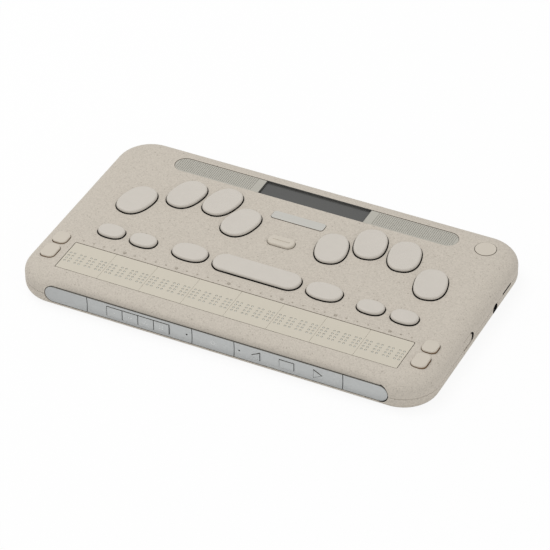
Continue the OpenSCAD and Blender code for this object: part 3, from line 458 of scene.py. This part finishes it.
def display_cover(name, colour):
    """Cover of a display that is switched off, with its faint grid of dots."""
    paint = Finish(name)
    pitch = 0.55 * MM
    grid = ((paint.axis("X") % pitch) < 0.08 * MM) + ((paint.axis("Y") % pitch) < 0.08 * MM)
    cloud = paint.noise(14 * MM, 2)
    face = paint.mix(cloud, shade(colour, 0.93), shade(colour, 1.07))
    paint.set(Base_Color=paint.mix(grid * 0.12, face, shade(colour, 0.6)))
    paint.set(Roughness=0.2 + 0.1 * cloud, Coat_Weight=0.4, Coat_Roughness=0.08)
    return paint.material


def dark_moulding(name, colour, rough=0.6):
    """Dark plastic of parts inside the case."""
    paint = Finish(name)
    fine = paint.noise(0.6 * MM, 3)
    paint.set(Base_Color=paint.mix(fine, shade(colour, 0.8), shade(colour, 1.25)))
    paint.set(Roughness=rough - 0.1 + 0.2 * fine)
    paint.bump(fine, 0.03 * MM, 0.4)
    return paint.material


def circuit_board(name, colour):
    """Green lacquer over copper lines."""
    paint = Finish(name)
    pitch = 2.2 * MM
    wave = paint.noise(6 * MM, 1)
    line = ((paint.axis("X") + wave * 3 * MM) % pitch).between(0.9 * MM, 1.1 * MM)
    paint.set(Base_Color=paint.mix(line * 0.5, colour, shade(colour, 1.7)))
    paint.set(Roughness=0.3 + 0.1 * wave, Coat_Weight=0.3)
    paint.bump(line, 0.02 * MM, 0.5)
    return paint.material


def foil(name, colour):
    """Creased foil round the battery."""
    paint = Finish(name)
    crease = paint.noise(9 * MM, 4)
    paint.set(Base_Color=paint.mix(crease, shade(colour, 0.85), shade(colour, 1.15)), Metallic=0.4)
    paint.set(Roughness=0.35 + 0.2 * crease)
    paint.bump(crease, 0.2 * MM, 0.4)
    return paint.material


def rubber(name, colour):
    """Dull rubber with a dusty bloom."""
    paint = Finish(name)
    dust = paint.noise(1.2 * MM, 4)
    paint.set(Base_Color=paint.mix(dust, shade(colour, 0.8), shade(colour, 1.5)))
    paint.set(Roughness=0.75 + 0.15 * dust, Specular_IOR_Level=0.25)
    paint.bump(dust, 0.05 * MM, 0.5)
    return paint.material


def piece(name, mesh_builder, body, slot, finish=None, smooth=True):
    """Makes a mesh object that moves with a body. It takes its slot's finish unless another is named."""
    mesh = bpy.data.meshes.new(name)
    bm = bmesh.new()
    mesh_builder(bm)
    bmesh.ops.recalc_face_normals(bm, faces=bm.faces)
    bm.to_mesh(mesh)
    bm.free()
    if smooth:
        mesh.shade_smooth()
    obj = bpy.data.objects.new(name, mesh)
    bpy.context.scene.collection.objects.link(obj)
    obj.data.materials.append(bpy.data.materials[f"{finish or slot}_finish"])
    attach(obj, body)
    return obj


def points(geom):
    """The vertices among some geometry."""
    return [v for v in geom if isinstance(v, bmesh.types.BMVert)]


def linked(verts):
    """The edges and faces of some vertices."""
    return list({e for v in verts for e in v.link_edges}) + list({f for v in verts for f in v.link_faces})


def oval(bm, width, depth, fullness, filled=True, sides=72):
    """A flat oval between an ellipse and a rectangle, and its vertices in order."""
    verts = bmesh.ops.create_circle(bm, cap_ends=filled, segments=sides, radius=1)["verts"]
    for v in verts:
        v.co.x = math.copysign(abs(v.co.x) ** (2 / fullness), v.co.x) * width / 2
        v.co.y = math.copysign(abs(v.co.y) ** (2 / fullness), v.co.y) * depth / 2
    return verts


def bar_edge(way, half, radius):
    """The point where a way from the middle of a round-cornered bar meets its edge."""
    way_x, way_y = abs(way.x), abs(way.y)
    corner = Vector((half.x - radius, half.y - radius))
    if way_y * half.x <= corner.y * way_x:
        return way * (half.x / way_x)
    if way_x * half.y <= corner.x * way_y:
        return way * (half.y / way_y)
    along = way_x * corner.x + way_y * corner.y
    return way * (along + math.sqrt(along ** 2 - corner.length_squared + radius ** 2))


def dome(bm, radius, height, sides=10):
    """A closed dome on the plane z = 0. Gives the edges of its foot."""
    verts = bmesh.ops.create_uvsphere(bm, u_segments=sides, v_segments=6, radius=radius)["verts"]
    cut = bmesh.ops.bisect_plane(bm, geom=verts + linked(verts), plane_co=(0, 0, 0), plane_no=(0, 0, 1),
                                 clear_inner=True)
    rim = [e for e in cut["geom_cut"] if isinstance(e, bmesh.types.BMEdge)]
    bmesh.ops.contextual_create(bm, geom=rim)
    verts = list(dict.fromkeys([v for v in verts if v.is_valid] + points(cut["geom_cut"])))
    bmesh.ops.scale(bm, vec=(1, 1, height / radius), verts=verts)
    return rim


def copies(bm, verts, steps):
    """Moves a shape to the first place and copies of it to the others."""
    geom = verts + linked(verts)
    for step in steps[1:]:
        new = bmesh.ops.duplicate(bm, geom=geom)["geom"]
        bmesh.ops.translate(bm, vec=step, verts=points(new))
    bmesh.ops.translate(bm, vec=steps[0], verts=verts)


class NOTETAKER_OT_finishes(Operator):
    """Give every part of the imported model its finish"""
    bl_idname = "notetaker.finishes"
    bl_label = "Finishes"

    def execute(self, context):
        c = context.scene.notetaker_colours
        s = context.scene.notetaker_sizes
        case_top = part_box("cell_caps")[1][2]
        panel_low, panel_high = (p[2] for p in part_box("front_panel"))
        panel_mid = (panel_low + panel_high) / 2
        plate_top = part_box("name_plate")[1][2]
        pin_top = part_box("pins_row_1")[1][2]
        makers = {
            "case": lambda n: speckled_plastic(n, c.case, c.speck, self.case_shades(s, c, case_top)),
            # Painted shadow on the lower sides of the keys, for the dark gaps round them
            "key": lambda n: satin_plastic(n, c.key, shades=[
                (foot(case_top, KEY_SHADOW_FADE), c.deep_shadow)]),
            # Painted shade at the foot of the cream keys
            "cream_key": lambda n: satin_plastic(n, c.cream_key, shades=[
                (foot(case_top, CREAM_FADE), c.shade)]),
            "strip": lambda n: satin_plastic(n, c.strip, 0.42, shades=[
                # Painted shade: the strip darker towards its bottom and at its left end, and dark on its
                # sides and key borders
                (below(panel_low - MM, panel_mid), shade(c.strip, 0.78)),
                (self.left_end, shade(c.strip, 0.86)),
                (facing("X"), c.strip_gap_shade), (facing("Z"), c.strip_ledge_shade), (self.borders(s.strip_line), c.strip_gap_shade)]),
            # Painted shade on the caps below their top
            "cap": lambda n: satin_plastic(n, c.cap, 0.4, 0.02, [
                (foot(case_top, CAP_FADE), c.cap_edge_shade)]),
            # Painted shade on the pins below their tips
            "pin": lambda n: satin_plastic(n, c.pin, 0.35, 0.05, [
                (foot(pin_top, PIN_FADE), c.pin_ring_shade)]),
            "grille": lambda n: painted_plate(n, c.grille),
            "window": lambda n: display_cover(n, c.glass),
            # Painted shade on the sides of the name plate
            "plate": lambda n: brushed_metal(n, c.plate, shades=[
                (foot(plate_top, PLATE_FADE), shade(c.shade, 1.6))]),
            "metal": lambda n: brushed_metal(n, c.metal, (900, 900, 4000), 0.3),
            "module": lambda n: dark_moulding(n, c.dark),
            "cell": lambda n: dark_moulding(n, c.dark, 0.5),
            "socket": lambda n: dark_moulding(n, shade(c.dark, 0.4), 0.45),
            "board": lambda n: circuit_board(n, c.board),
            "connector": lambda n: satin_plastic(n, c.connector),
            "battery": lambda n: foil(n, c.battery),
            "foot": lambda n: rubber(n, c.rubber),
        }
        dust_cloth("cloth_finish", c.cloth)
        # Lighter finish of the beads and the ring, a painted highlight
        satin_plastic("bead_finish", c.bead, 0.35)
        dark_moulding("lining_finish", c.lining)
        # Painted shade on the sides of the rolled scroll keys, fading out up them
        satin_plastic("scroll_finish", c.cream_key, shades=[
            (foot(case_top, SCROLL_FADE), shade(c.shade, 2.4))])
        for part in frame["record"]["subparts"]:
            slot = part["material_slot"]
            finish = bpy.data.materials.get(f"{slot}_finish") or makers[slot](f"{slot}_finish")
            mesh = frame["nodes"][part["node"]].data
            mesh.materials.clear()
            mesh.materials.append(finish)
        return {"FINISHED"}

    def left_end(self, paint):
        """Mask of the painted shade on the left end of the front strip."""
        return 1 - paint.axis("X").between(CAD_BOX[0][0], CAD_BOX[0][0] / 3)

    def borders(self, half):
        """Mask of the painted shade along the upright borders of the front strip's keys."""
        ends = {"record_key": (0, 1), "left_end_key": (1,), "right_end_key": (0,), "app_key_1": (0,),
                "app_key_2": (0,), "app_key_3": (0,), "app_key_4": (0, 1)}

        def mask(paint):
            total = 0.0
            for node, sides in ends.items():
                low, high = (Vector(p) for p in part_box(node))
                level = paint.near("Z", (low.z + high.z) / 2, (high.z - low.z) / 2)
                for side in sides:
                    total = total + paint.near("X", (low, high)[side].x, half) * level
            return total * 0.75

        return mask

    def case_shades(self, s, c, case_top):
        """Masks and colours of the painted shade on the case: in its gaps and openings, on the raised marks
        and on the front roll.
        """
        mounts = {m["name"]: Vector(m["pos_m"]) for m in frame["record"]["mounts"]}
        strip_low, strip_high = (Vector(p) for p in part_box("cell_caps"))
        panel_low, panel_high = (Vector(p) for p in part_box("front_panel"))
        card_low, card_high = (Vector(p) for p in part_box("card_slot"))
        side = CAD_BOX[1][0]
        end_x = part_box("right_end_key")[1][0]

        # Painted shade on the case round a piece, down from just under the top of the case
        def around(node, room):
            low, high = (Vector(p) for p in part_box(node))
            reach = Vector((room, room, 0))
            low, high = low - reach, high + reach
            high.z = case_top - GAP_DEPTH
            return lambda paint: paint.inside(low, high)

        # Painted shadow inside the hole of the headphone socket
        def socket(paint):
            y = paint.axis("Y") - mounts["headphone_socket"].y
            z = paint.axis("Z") - mounts["headphone_socket"].z
            return (y * y + z * z < (s.jack_hole * 1.02) ** 2) * (paint.axis("X") > side * SIDE_SHARE)

        # Painted shadow in the notch behind the cover of the charging port
        def notch(paint):
            port = mounts["charging_port"]
            radius = s.port_height / 2
            y = paint.axis("Y") - (port.y + s.port_width / 2 - radius)
            z = paint.axis("Z") - port.z
            end = paint.axis("Y") > port.y + s.port_width / 2 - s.nail_notch - 0.3 * MM
            return (y * y + z * z < radius ** 2) * end * (paint.axis("X") > side * SIDE_SHARE)

        # Painted shadow inside the card slot
        def card(paint):
            low = Vector((side * SIDE_SHARE, card_low.y + 0.75 * MM, card_low.z + 0.25 * MM))
            high = Vector((side * 1.1, card_high.y - 0.75 * MM, card_high.z - 0.25 * MM))
            return paint.inside(low, high)

        # Painted shade on the raised marks behind the braille line, stronger at every fifth cell
        def marks(paint):
            along = (paint.axis("X") + s.cells * s.cell_pitch / 2) / s.cell_pitch
            fifth = (along % 5) > 4
            x = abs(along % 1 - 0.5) * s.cell_pitch
            y = paint.axis("Y") - (strip_high.y + s.mark_back)
            radius = 0.5 * MM + fifth * 0.5 * MM
            on_top = paint.near("X", 0, strip_high.x) * (paint.axis("Z") > case_top - MM)
            return (x * x + y * y < radius * radius) * on_top * (0.3 + 0.12 * fifth)

        # Painted shade on the front roll, darkest just above the front strip and fading up the roll and
        # towards the ends
        def roll(paint):
            rise = 1 - paint.axis("Z").between(panel_high.z - 0.3 * MM, panel_high.z + 3.2 * MM)
            front = 1 - paint.axis("Y").between(panel_low.y + 2.5 * MM, panel_low.y + 5 * MM)
            ends = 1 - abs(paint.axis("X")).between(end_x - 20 * MM, end_x + 2 * MM)
            above = paint.axis("Z") > panel_high.z - 0.6 * MM
            return rise * front * ends * above * 0.5

        # Painted shadow in the gap round the right end of the front strip
        def strip_end(paint):
            radius = (panel_high.z - panel_low.z) / 2
            x = paint.axis("X") - (end_x - radius)
            z = paint.axis("Z") - (panel_high.z + panel_low.z) / 2
            front = paint.axis("Y") < panel_high.y
            return (x > 0.0) * (x * x + z * z < (radius + s.end_line) ** 2) * front

        # Painted shade on a thin band of the case top behind the braille line, widening the gap's dark line
        def back_line(paint):
            low = Vector((strip_low.x, strip_high.y, case_top - MM))
            high = Vector((strip_high.x, strip_high.y + s.back_line, case_top + MM))
            return paint.inside(low, high) * 0.6

        return [(roll, shade(c.case, 0.42)), (marks, shade(c.speck, 1.1)), (back_line, c.shade),
                (strip_end, c.deep_shadow), (around("cell_caps", CAP_REACH), c.shade),
                (around("grille_plate", PLATE_REACH), c.shade), (around("name_plate", PLATE_REACH), c.shade),
                (socket, c.deep_shadow), (notch, c.deep_shadow), (card, c.deep_shadow)]


class NOTETAKER_OT_keys(Operator):
    """Model the oval keys with the rims of the case round them, and the scroll keys"""
    bl_idname = "notetaker.keys"
    bl_label = "Oval keys"

    def execute(self, context):
        s = context.scene.notetaker_sizes
        for i in range(1, 9):
            side = -1 if i in (1, 2, 3, 7) else 1
            self.key(s, f"dot_key_{i}", s.input_width, s.input_length, side * s.input_turn, s.key_dish, True)
        for name in ("ctrl_key", "alt_key"):
            self.key(s, name, s.wide_width, s.wide_length)
        for i in range(1, 5):
            self.key(s, f"f{i}_key", s.small_width, s.small_length)
        for name in ("scroll_up_left", "scroll_down_left", "scroll_up_right", "scroll_down_right"):
            size = Vector(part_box(name)[1]) - Vector(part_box(name)[0])
            self.key(s, name, size.x, size.y - 2 * s.scroll_lip, lengthwise=True, corner=s.scroll_corner)
        return {"FINISHED"}

    def key(self, s, node, width, depth, turn=0.0, dish=0.0, lengthwise=False, corner=0.0):
        """One key. It is oval with a rim round it, or a bar if its corner is given."""
        low, high = (Vector(p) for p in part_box(node))
        lip, roll = (s.scroll_lip, s.edge_roll) if corner else (s.flange_lip, s.key_roll)
        middle = (low + high) / 2
        place = Matrix.Translation((middle.x, middle.y, 0)) @ Matrix.Rotation(turn, 4, "Z")
        case_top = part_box("cell_caps")[1][2]
        flange_top = case_top - s.roof - s.seat_gap

        def cap(bm):
            made = oval(bm, width, depth, s.oval)
            if corner:
                for v in made:
                    v.co.xy = bar_edge(v.co.xy.normalized(), Vector((width, depth)) / 2, corner)
            base = bm.faces[:][0]
            up = bmesh.ops.extrude_face_region(bm, geom=[base])["geom"]
            top = next(f for f in up if isinstance(f, bmesh.types.BMFace))
            bmesh.ops.translate(bm, vec=(0, 0, flange_top - s.flange), verts=made)
            bmesh.ops.translate(bm, vec=(0, 0, high.z), verts=top.verts)
            bmesh.ops.bevel(bm, geom=list(top.edges), offset=roll, offset_type="OFFSET", segments=6,
                            profile=0.5, affect="EDGES", material=-1, clamp_overlap=True)
            top = max(bm.faces, key=lambda f: f.calc_center_median().z)
            size, level = 1.0, high.z
            for share in TOP_RINGS:
                top = bmesh.ops.extrude_discrete_faces(bm, faces=[top])["faces"][0]
                bmesh.ops.scale(bm, vec=(share / size, share / size, 1), verts=top.verts)
                sunk = high.z - dish * (1 - share ** 2)
                bmesh.ops.translate(bm, vec=(0, 0, sunk - level), verts=top.verts)
                size, level = share, sunk
            tongue = bmesh.ops.create_cube(bm, size=1)["verts"]
            reach = (width / 2, depth + 2 * lip) if lengthwise else (width + 2 * lip, depth / 2)
            bmesh.ops.scale(bm, vec=(*reach, s.flange), verts=tongue)
            bmesh.ops.translate(bm, vec=(0, 0, flange_top - s.flange / 2), verts=tongue)
            uprights = [e for e in {e for v in tongue for e in v.link_edges}
                        if abs(e.verts[0].co.z - e.verts[1].co.z) > s.flange / 2]
            bmesh.ops.bevel(bm, geom=uprights, offset=MM, offset_type="OFFSET", segments=4, profile=0.5,
                            affect="EDGES", material=-1)
            stem = bmesh.ops.create_cone(bm, cap_ends=True, segments=24, radius1=s.stem_radius,
                                         radius2=s.stem_radius, depth=flange_top - low.z)["verts"]
            bmesh.ops.translate(bm, vec=(0, 0, (flange_top + low.z) / 2), verts=stem)
            bmesh.ops.transform(bm, matrix=place, verts=bm.verts)

        if corner:
            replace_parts(piece(f"rolled_{node}", cap, node, "cream_key", "scroll"), node)
            return
        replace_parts(piece(f"oval_{node}", cap, node, "key"), node)

        def rim(bm):
            inner = oval(bm, width + 2 * s.key_gap, depth + 2 * s.key_gap, s.oval, False)
            outer = oval(bm, width, depth, s.oval, False)
            half = Vector((width, depth)) / 2 + Vector((s.hole_gap, s.hole_gap))
            radius = min(width, depth) / 2 - s.end_flat + s.hole_gap
            for v in outer:
                v.co.xy = bar_edge(v.co.xy.normalized(), half, radius)
            edges = list({e for v in inner + outer for e in v.link_edges})
            ring = bmesh.ops.bridge_loops(bm, edges=edges)["faces"]
            bmesh.ops.translate(bm, vec=(0, 0, case_top), verts=bm.verts)
            lower = bmesh.ops.extrude_face_region(bm, geom=ring)["geom"]
            bmesh.ops.translate(bm, vec=(0, 0, -s.roof / 2), verts=points(lower))
            bmesh.ops.transform(bm, matrix=place, verts=bm.verts)

        piece(f"rim_{node}", rim, "case", "case", smooth=False)


class NOTETAKER_OT_display(Operator):
    """Model the dust cloth in the sound slots and the dark lining of the display opening"""
    bl_idname = "notetaker.display"
    bl_label = "Display strip"

    def execute(self, context):
        s = context.scene.notetaker_sizes
        low, high = (Vector(p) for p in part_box("grille_plate"))
        middle = (low + high) / 2
        radius = (high.y - low.y) / 2
        first = s.window_width / 2 + s.window_land
        count = int((high.x - first - s.slot_margin) / s.slot_pitch)

        def cloth(bm):
            level = high.z - 1.5 * s.slot_depth
            for i in range(count):
                x = first + (i + 0.5) * s.slot_pitch
                over = max(0, x - (high.x - radius))
                half = math.sqrt(max(0, radius ** 2 - over ** 2)) - s.slot_margin
                for side in (-1, 1):
                    strip = bmesh.ops.create_cube(bm, size=1)["verts"]
                    bmesh.ops.scale(bm, vec=(s.slot_width, 2 * half, s.slot_depth), verts=strip)
                    bmesh.ops.translate(bm, vec=(side * x, middle.y, level), verts=strip)

        piece("slot_cloth", cloth, "case", "grille", "cloth", smooth=False)
        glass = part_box("display_window")[1][2]
        case_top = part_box("cell_caps")[1][2]

        def lining(bm):
            sheet = bmesh.ops.create_grid(bm, x_segments=1, y_segments=1, size=0.5)["verts"]
            bmesh.ops.scale(bm, vec=(s.window_width, s.window_length, 1), verts=sheet)
            inner = bm.faces[:][0]
            ring = bmesh.ops.inset_region(bm, faces=[inner], thickness=s.lining, use_boundary=True)["faces"]
            bmesh.ops.delete(bm, geom=[inner], context="FACES_ONLY")
            bmesh.ops.translate(bm, vec=(0, middle.y, glass), verts=bm.verts)
            upper = bmesh.ops.extrude_face_region(bm, geom=ring)["geom"]
            bmesh.ops.translate(bm, vec=(0, 0, case_top - glass - 0.02 * MM), verts=points(upper))

        piece("window_lining", lining, "case", "module", "lining", smooth=False)
        return {"FINISHED"}


class NOTETAKER_OT_pins(Operator):
    """Model the round-tipped pins of the braille line"""
    bl_idname = "notetaker.pins"
    bl_label = "Braille pins"

    def execute(self, context):
        s = context.scene.notetaker_sizes
        places = [(i - (s.cells - 1) / 2) * s.cell_pitch + side * s.dot_pitch / 2
                  for i in range(s.cells) for side in (-1, 1)]
        for row in range(1, 5):
            node = f"pins_row_{row}"
            low, high = (Vector(p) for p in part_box(node))
            middle = (low + high) / 2

            def pins(bm):
                rim = dome(bm, s.pin_radius, s.pin_dome)
                base = [f for f in bm.faces if all(e in rim for e in f.edges)]
                shaft = bmesh.ops.extrude_discrete_faces(bm, faces=base)["faces"]
                ends = list({v for f in shaft for v in f.verts})
                bmesh.ops.translate(bm, vec=(0, 0, -s.pin_shaft), verts=ends)
                copies(bm, list(bm.verts), [(middle.x + x, middle.y, high.z - s.pin_dome) for x in places])

            obj = piece(f"round_{node}", pins, node, "pin")
            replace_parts(obj, node)
        return {"FINISHED"}


class NOTETAKER_OT_beads(Operator):
    """Model the raised beads that count the small front keys"""
    bl_idname = "notetaker.beads"
    bl_label = "Key beads"

    def execute(self, context):
        s = context.scene.notetaker_sizes
        layouts = {1: [(0, 0)], 2: [(-0.5, 0), (0.5, 0)], 3: [(-0.5, -0.5), (0.5, -0.5), (0, 0.5)],
                   4: [(-0.5, -0.5), (0.5, -0.5), (-0.5, 0.5), (0.5, 0.5)]}
        for count, layout in layouts.items():
            node = f"app_key_{count}"
            low, high = (Vector(p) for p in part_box(node))
            middle = (low + high) / 2

            def beads(bm):
                dome(bm, s.bead_radius, s.bead_height)
                bmesh.ops.rotate(bm, cent=(0, 0, 0), matrix=UPRIGHT, verts=bm.verts)
                copies(bm, list(bm.verts), [(middle.x + x * s.bead_pitch, low.y, middle.z + z * s.bead_pitch)
                                            for x, z in layout])

            piece(f"beads_{node}", beads, node, "strip", "bead")
        return {"FINISHED"}


class NOTETAKER_OT_ring(Operator):
    """Model the raised ring on the middle front key"""
    bl_idname = "notetaker.ring"
    bl_label = "Key ring"

    def execute(self, context):
        s = context.scene.notetaker_sizes
        low, high = (Vector(p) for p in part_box("record_key"))

        def ring(bm):
            made = bmesh.ops.create_circle(bm, segments=10, radius=s.ring_bead)
            bmesh.ops.translate(bm, vec=(s.ring_radius, 0, 0), verts=made["verts"])
            bmesh.ops.rotate(bm, cent=(0, 0, 0), matrix=UPRIGHT, verts=made["verts"])
            bmesh.ops.spin(bm, geom=list(bm.verts) + list(bm.edges), cent=(0, 0, 0), axis=(0, 0, 1),
                           angle=2 * math.pi, steps=40, use_merge=True)
            bmesh.ops.rotate(bm, cent=(0, 0, 0), matrix=UPRIGHT, verts=bm.verts)
            bmesh.ops.translate(bm, vec=(0, low.y, (low.z + high.z) / 2), verts=bm.verts)

        piece("ring_record_key", ring, "record_key", "strip", "bead")
        return {"FINISHED"}


class NOTETAKER_OT_stage(Operator):
    """Set the floor, the soft light, the white surroundings and the camera"""
    bl_idname = "notetaker.stage"
    bl_label = "Stage"

    def execute(self, context):
        scene = context.scene
        stage = scene.notetaker_stage
        scene.view_settings.view_transform = "Standard"
        self.camera(scene, stage)
        self.floor(scene, scene.notetaker_colours.floor)
        self.surroundings(scene, stage.sky)
        self.lamp(scene, "soft_lamp", *SOFT_LAMP, stage.lamp)
        self.lamp(scene, "side_lamp", *SIDE_LAMP, stage.fill)
        return {"FINISHED"}

    def camera(self, scene, stage):
        back = Vector((math.sin(stage.turn) * math.cos(stage.height),
                       -math.cos(stage.turn) * math.cos(stage.height), math.sin(stage.height)))
        right = Vector((math.cos(stage.turn), math.sin(stage.turn), 0))
        up = back.cross(right)
        side = right * math.cos(stage.roll) + up * math.sin(stage.roll)
        rise = up * math.cos(stage.roll) - right * math.sin(stage.roll)
        data = bpy.data.cameras.new("photo_camera")
        data.sensor_width = SENSOR_WIDTH
        data.lens = stage.focal / PICTURE_WIDTH * SENSOR_WIDTH
        data.clip_end = 50
        camera = bpy.data.objects.new("photo_camera", data)
        camera.matrix_world = (Matrix.Translation(Vector(stage.target) + back * stage.distance)
                               @ Matrix((side, rise, back)).transposed().to_4x4())
        scene.collection.objects.link(camera)
        scene.camera = camera

    def seen(self, paint):
        """1 where the camera, a mirror or glass looks at a surface."""
        path = paint.node("ShaderNodeLightPath")
        camera, mirror, glass = (Value(paint, path.outputs[f"Is {kind} Ray"])
                                 for kind in ("Camera", "Glossy", "Transmission"))
        return camera + mirror + glass

    def floor(self, scene, colour):
        paint = Finish("pale_floor")
        cloud = paint.noise(0.4, 2)
        paint.set(Base_Color=paint.mix(cloud, shade(colour, 0.99), colour), Roughness=0.9)
        glow = paint.node("ShaderNodeEmission", {}, {"Color": (1, 1, 1, 1), "Strength": 1.0})
        mixed = paint.node("ShaderNodeMixShader", {}, {0: self.seen(paint) * 0.9, 1: paint.shader.outputs[0],
                                                       2: glow.outputs[0]})
        output = next(n for n in paint.tree.nodes if n.type == "OUTPUT_MATERIAL")
        paint.put(output, "Surface", mixed.outputs[0])
        mesh = bpy.data.meshes.new("floor")
        bm = bmesh.new()
        bmesh.ops.create_grid(bm, x_segments=1, y_segments=1, size=6)
        bm.to_mesh(mesh)
        bm.free()
        floor = bpy.data.objects.new("floor", mesh)
        mesh.materials.append(paint.material)
        scene.collection.objects.link(floor)

    def surroundings(self, scene, strength):
        world = bpy.data.worlds.new("studio")
        world.use_nodes = True
        scene.world = world
        tree = world.node_tree
        tree.nodes.clear()
        path = tree.nodes.new("ShaderNodeLightPath")
        light = tree.nodes.new("ShaderNodeBackground")
        light.inputs["Color"].default_value = (1, 1, 1, 1)
        light.inputs["Strength"].default_value = strength
        white = tree.nodes.new("ShaderNodeBackground")
        white.inputs["Color"].default_value = (1, 1, 1, 1)
        white.inputs["Strength"].default_value = 1
        mixed = tree.nodes.new("ShaderNodeMixShader")
        output = tree.nodes.new("ShaderNodeOutputWorld")
        tree.links.new(path.outputs["Is Camera Ray"], mixed.inputs[0])
        tree.links.new(light.outputs[0], mixed.inputs[1])
        tree.links.new(white.outputs[0], mixed.inputs[2])
        tree.links.new(mixed.outputs[0], output.inputs[0])

    def lamp(self, scene, name, place, size, power):
        data = bpy.data.lights.new(name, "AREA")
        data.shape = "DISK"
        data.size = size
        data.energy = power
        lamp = bpy.data.objects.new(name, data)
        turn = Vector(place).to_track_quat("Z", "Y").to_matrix().to_4x4()
        lamp.matrix_world = Matrix.Translation(place) @ turn
        scene.collection.objects.link(lamp)


class NOTETAKER_PT_panel(Panel):
    """The steps that dress the notetaker"""
    bl_idname = "NOTETAKER_PT_panel"
    bl_label = "Notetaker"
    bl_space_type = "VIEW_3D"
    bl_region_type = "UI"
    bl_category = "Notetaker"

    def draw(self, context):
        for step in STEPS:
            self.layout.operator(step.bl_idname)


STEPS = (NOTETAKER_OT_finishes, NOTETAKER_OT_keys, NOTETAKER_OT_display, NOTETAKER_OT_pins,
         NOTETAKER_OT_beads, NOTETAKER_OT_ring, NOTETAKER_OT_stage)
GROUPS = {"notetaker_sizes": NotetakerSizes, "notetaker_colours": NotetakerColours,
          "notetaker_stage": NotetakerStage}
CLASSES = (*GROUPS.values(), *STEPS, NOTETAKER_PT_panel)


def register():
    for cls in CLASSES:
        bpy.utils.register_class(cls)
    for name, group in GROUPS.items():
        setattr(bpy.types.Scene, name, PointerProperty(type=group))


def unregister():
    for name in GROUPS:
        delattr(bpy.types.Scene, name)
    for cls in reversed(CLASSES):
        bpy.utils.unregister_class(cls)


def main():
    register()
    bpy.ops.notetaker.finishes()
    bpy.ops.notetaker.keys()
    bpy.ops.notetaker.display()
    bpy.ops.notetaker.pins()
    bpy.ops.notetaker.beads()
    bpy.ops.notetaker.ring()
    bpy.ops.notetaker.stage()


if __name__ == "__main__":
    main()
